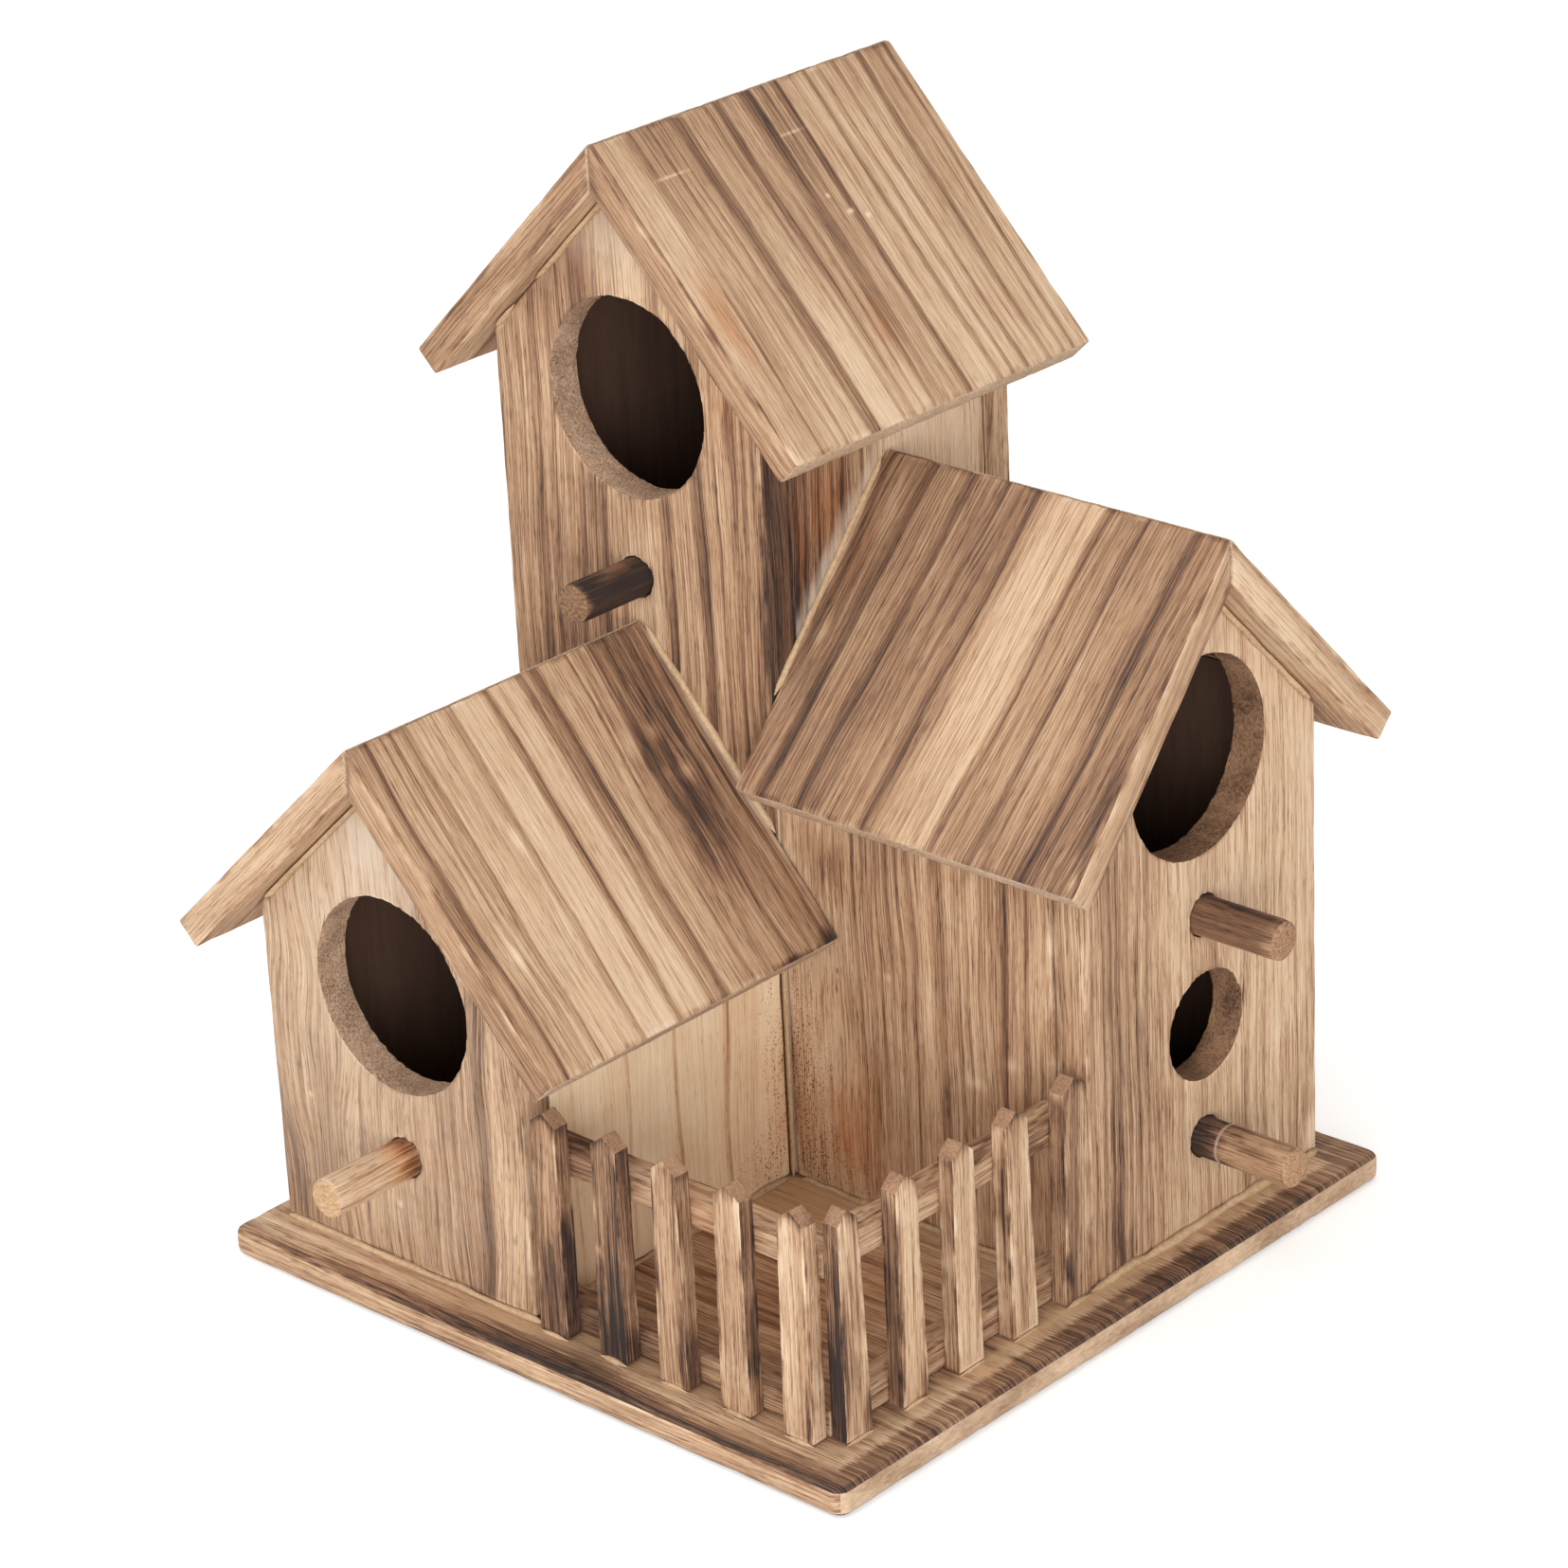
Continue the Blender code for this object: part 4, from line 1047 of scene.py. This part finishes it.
# %% Rails
RAIL_LOOKS = {                  # direction, burn, marks
    "rail_front_lower": (X, .4, [("char", 11, 15, 8, 26, .2)]),
    "rail_front_upper": (X, .28, [("char", 52, 8, 9, 26, .36), ("scorch", 52, 50, 9, 26, .35)]),
    "rail_side_lower": (Y, .38, []),
    "rail_side_upper": (Y, .26, [("char", 55.5, -40, 1.6, 60, .3), ("char", 52, -12, 8, 8, .25)]),
}
for number, (node, (along, burn, marks)) in enumerate(RAIL_LOOKS.items()):
    wood = torched_wood(f"Bare {node}", Z, along, plain_rings(-4, 64, number, burn, burn + .25),
                        seed=95 + number, sway=0.6, marks=marks)
    carve(node, Z, along, wood, step=1.0, long_step=5.0, seed=7)

# %% [markdown]
# ## Glue and dust
# The boards are held by glue that has squeezed out of the joints, and the dust of the sanding
# sticks to it. It shows as thin lumpy seams, pale against the burnt wood. Each seam is a narrow
# fillet that starts on one board and ends on the other, with its width wandering along it. Paint
# on the boards would be flat, while a fillet catches the light as dried glue does.

# %% One seam
DRIED_GLUE = speckled_wood("Dried glue with sanding dust", "D6B692", "AD8C69", (1.2, 1.2, 1.2),
                           0.2)
SEAM_STEP = 0.8                 # mm
SEAM_TIP = 0.15                 # share of the width at a seam's ends
SEAM_FADE = 4                   # steps in which an end grows
BELLY = 0.36                    # how far a seam bulges between its legs
LUMPS = ((0, 9.0), (7, 6.0))    # of each leg: its place in the noise, and mm


def seam(name, start, end, legs, width, seed=0, lump=0.6, root=(0, 0, 0)):
    """A lumpy closed fillet from start to end in mm. Its two legs lie along two directions,
    and its root may reach into the joint."""
    start, end = Vector(start), Vector(end)
    count = max(2, int((end - start).length / SEAM_STEP))
    form = bmesh.new()
    rows = []
    for number in range(count + 1):
        centre = start.lerp(end, number / count)
        fade = min(1.0, SEAM_TIP + min(number, count - number) / SEAM_FADE)
        ends = []
        for leg, (side, size) in zip(legs, LUMPS):
            wave = noise.noise(centre / size + Vector((seed, 5, side)))
            ends.append(leg * (fade * width * max(0.1, 0.7 + lump * wave)))
        first, last = ends
        rows.append([form.verts.new((centre + part) * MM)
                     for part in (first, (first + last) * BELLY, last, Vector(root))])
    for row, other in zip(rows, rows[1:]):
        for a, b in ((0, 1), (1, 2), (2, 3), (3, 0)):
            form.faces.new((row[a], row[b], other[b], other[a])).smooth = True
    form.faces.new(rows[0])
    form.faces.new(rows[-1])
    bmesh.ops.recalc_face_normals(form, faces=form.faces)
    glued_piece(name, form, [DRIED_GLUE])


print("Seams of", DRIED_GLUE.name)

# %% Seams round the walls and roofs
low_wall, tall_wall, double_wall = (box_mm(f"{house}_front_wall") for house in HOUSES)
low_roof, double_roof = box_mm("low_roof_right"), box_mm("double_roof_left")
front_y, side_x, corner_x, top = low_wall[0].y, double_wall[1].x, tall_wall[1].x, BASE_TOP
garden_x, garden_y = low_wall[1].x, 2.6
back_y = box_mm("tall_back_wall")[0].y - 0.15


def slope_of(node):
    """How many mm a roof board falls in one level mm."""
    return tan(radians(ROOF_PITCH[node]))


def off_roof(node, sideways):
    """The way straight out of a roof board, which lies in a plane with this direction."""
    slant = radians(ROOF_PITCH[node])
    return sideways * sin(slant) + Z * cos(slant)


low_roof_end = low_roof[1].z - slope_of("low_roof_right") * (corner_x - 1 - low_roof[0].x)
double_roof_end = double_roof[1].z - slope_of("double_roof_left") * (double_roof[1].y - 3.5)
SEAMS = {                       # start, end, legs, width, how lumpy it is, its root
    "low_front": ((low_wall[0].x, front_y, top), (garden_x + 3, front_y, top), (-Y, Z), 1.6, 0.3),
    "double_front": ((side_x, double_wall[0].y, top), (side_x, double_wall[1].y, top), (X, Z),
                     2.2, 0.4),
    "garden_low": ((garden_x, -76, top), (garden_x, 2, top), (X, Z), 1.6, 0.6),
    "garden_double": ((-5, garden_y, top), (76, garden_y, top), (-Y, Z), 1.6, 0.6),
    "double_roof": ((corner_x, double_roof[1].y - 1.5, double_roof[1].z - 1.7),
                    (corner_x, 3.5, double_roof_end), (X, off_roof("double_roof_left", -Y)), 1.5,
                    0.2),
    "low_roof": ((low_roof[0].x + 1, garden_y, low_roof[1].z - 1.1),
                 (corner_x - 1, garden_y, low_roof_end), (-Y, off_roof("low_roof_right", X)), 1.7,
                 0.2),
    "tall_corner": ((corner_x - 0.1, back_y, 140), (corner_x - 0.1, back_y, 217), (Y, -Y), 0.5,
                    0.1, -0.5 * X),
    "garden_corner": ((garden_x + 0.55, 2.2, top), (garden_x + 0.55, 2.2, 84), (X, -X), 1.45,
                      0.15, 0.7 * Y),
}
for number, (name, (start, end, legs, width, *rest)) in enumerate(SEAMS.items()):
    seam(f"seam_{name}", start, end, legs, width, number, *rest)
print("Seams round walls and roofs:", len(SEAMS))

# %% [markdown]
# ## Filler under the gables
# In the corner of a front wall and the roof above it, the joint is closed with filler. Its seams
# follow the pitch of the roof boards, and their root reaches into the joint, so that no dark gap
# shows where the carved arrises have sunk.

# %% Seams under the gables
GABLE_SEAMS = {                 # where the seam starts and ends along the wall, in mm
    "low_gable_left": (-91, -50), "low_gable_right": (-47, -9), "tall_gable_left": (-92, -85),
    "tall_gable_top": (-77, -50), "tall_gable_right": (-48, -8), "double_gable_left": (4, 45),
    "double_gable_right": (48, 89),
}
ROOF_THICK = 8.45               # mm, with the joint under the board
RIDGE_JOINT = 0.15              # mm
for number, (name, reach) in enumerate(GABLE_SEAMS.items()):
    house, _, part = name.split("_")
    board = f"{house}_roof_right" if part == "right" else f"{house}_roof_left"
    out, along = (X, Y) if house == "double" else (-Y, X)
    low, high = box_mm(f"{house}_front_wall")
    ridge_low, ridge_high = box_mm(f"{house}_roof_right")
    ridge = ridge_low.dot(along) - RIDGE_JOINT
    crest = ridge_high.z - ROOF_THICK / cos(radians(ROOF_PITCH[board]))
    face = out * max(low.dot(out), high.dot(out))
    ends = [face + along * place + Z * (crest - abs(place - ridge) * slope_of(board))
            for place in reach]
    down = -off_roof(board, along if part == "right" else -along)
    seam(f"seam_{name}", *ends, (out, down), 1.5, number, 0.3, -0.4 * out - 0.3 * down)
print("Seams under the gables:", len(GABLE_SEAMS))

# %% [markdown]
# ## Feet of the pickets
# Each picket was set in a drop of glue, which shows as a short pale seam before its foot.

# %% Feet of the pickets
for number, node in enumerate(PICKET_LOOKS):
    low, high = box_mm(node)
    out, corner = (-Y, low) if "front" in node else (X, high)
    seam(f"foot_{node}", (corner.x, low.y, top), (high.x, corner.y, top), (out, Z), 1.2, number)
print("Feet:", len(PICKET_LOOKS))
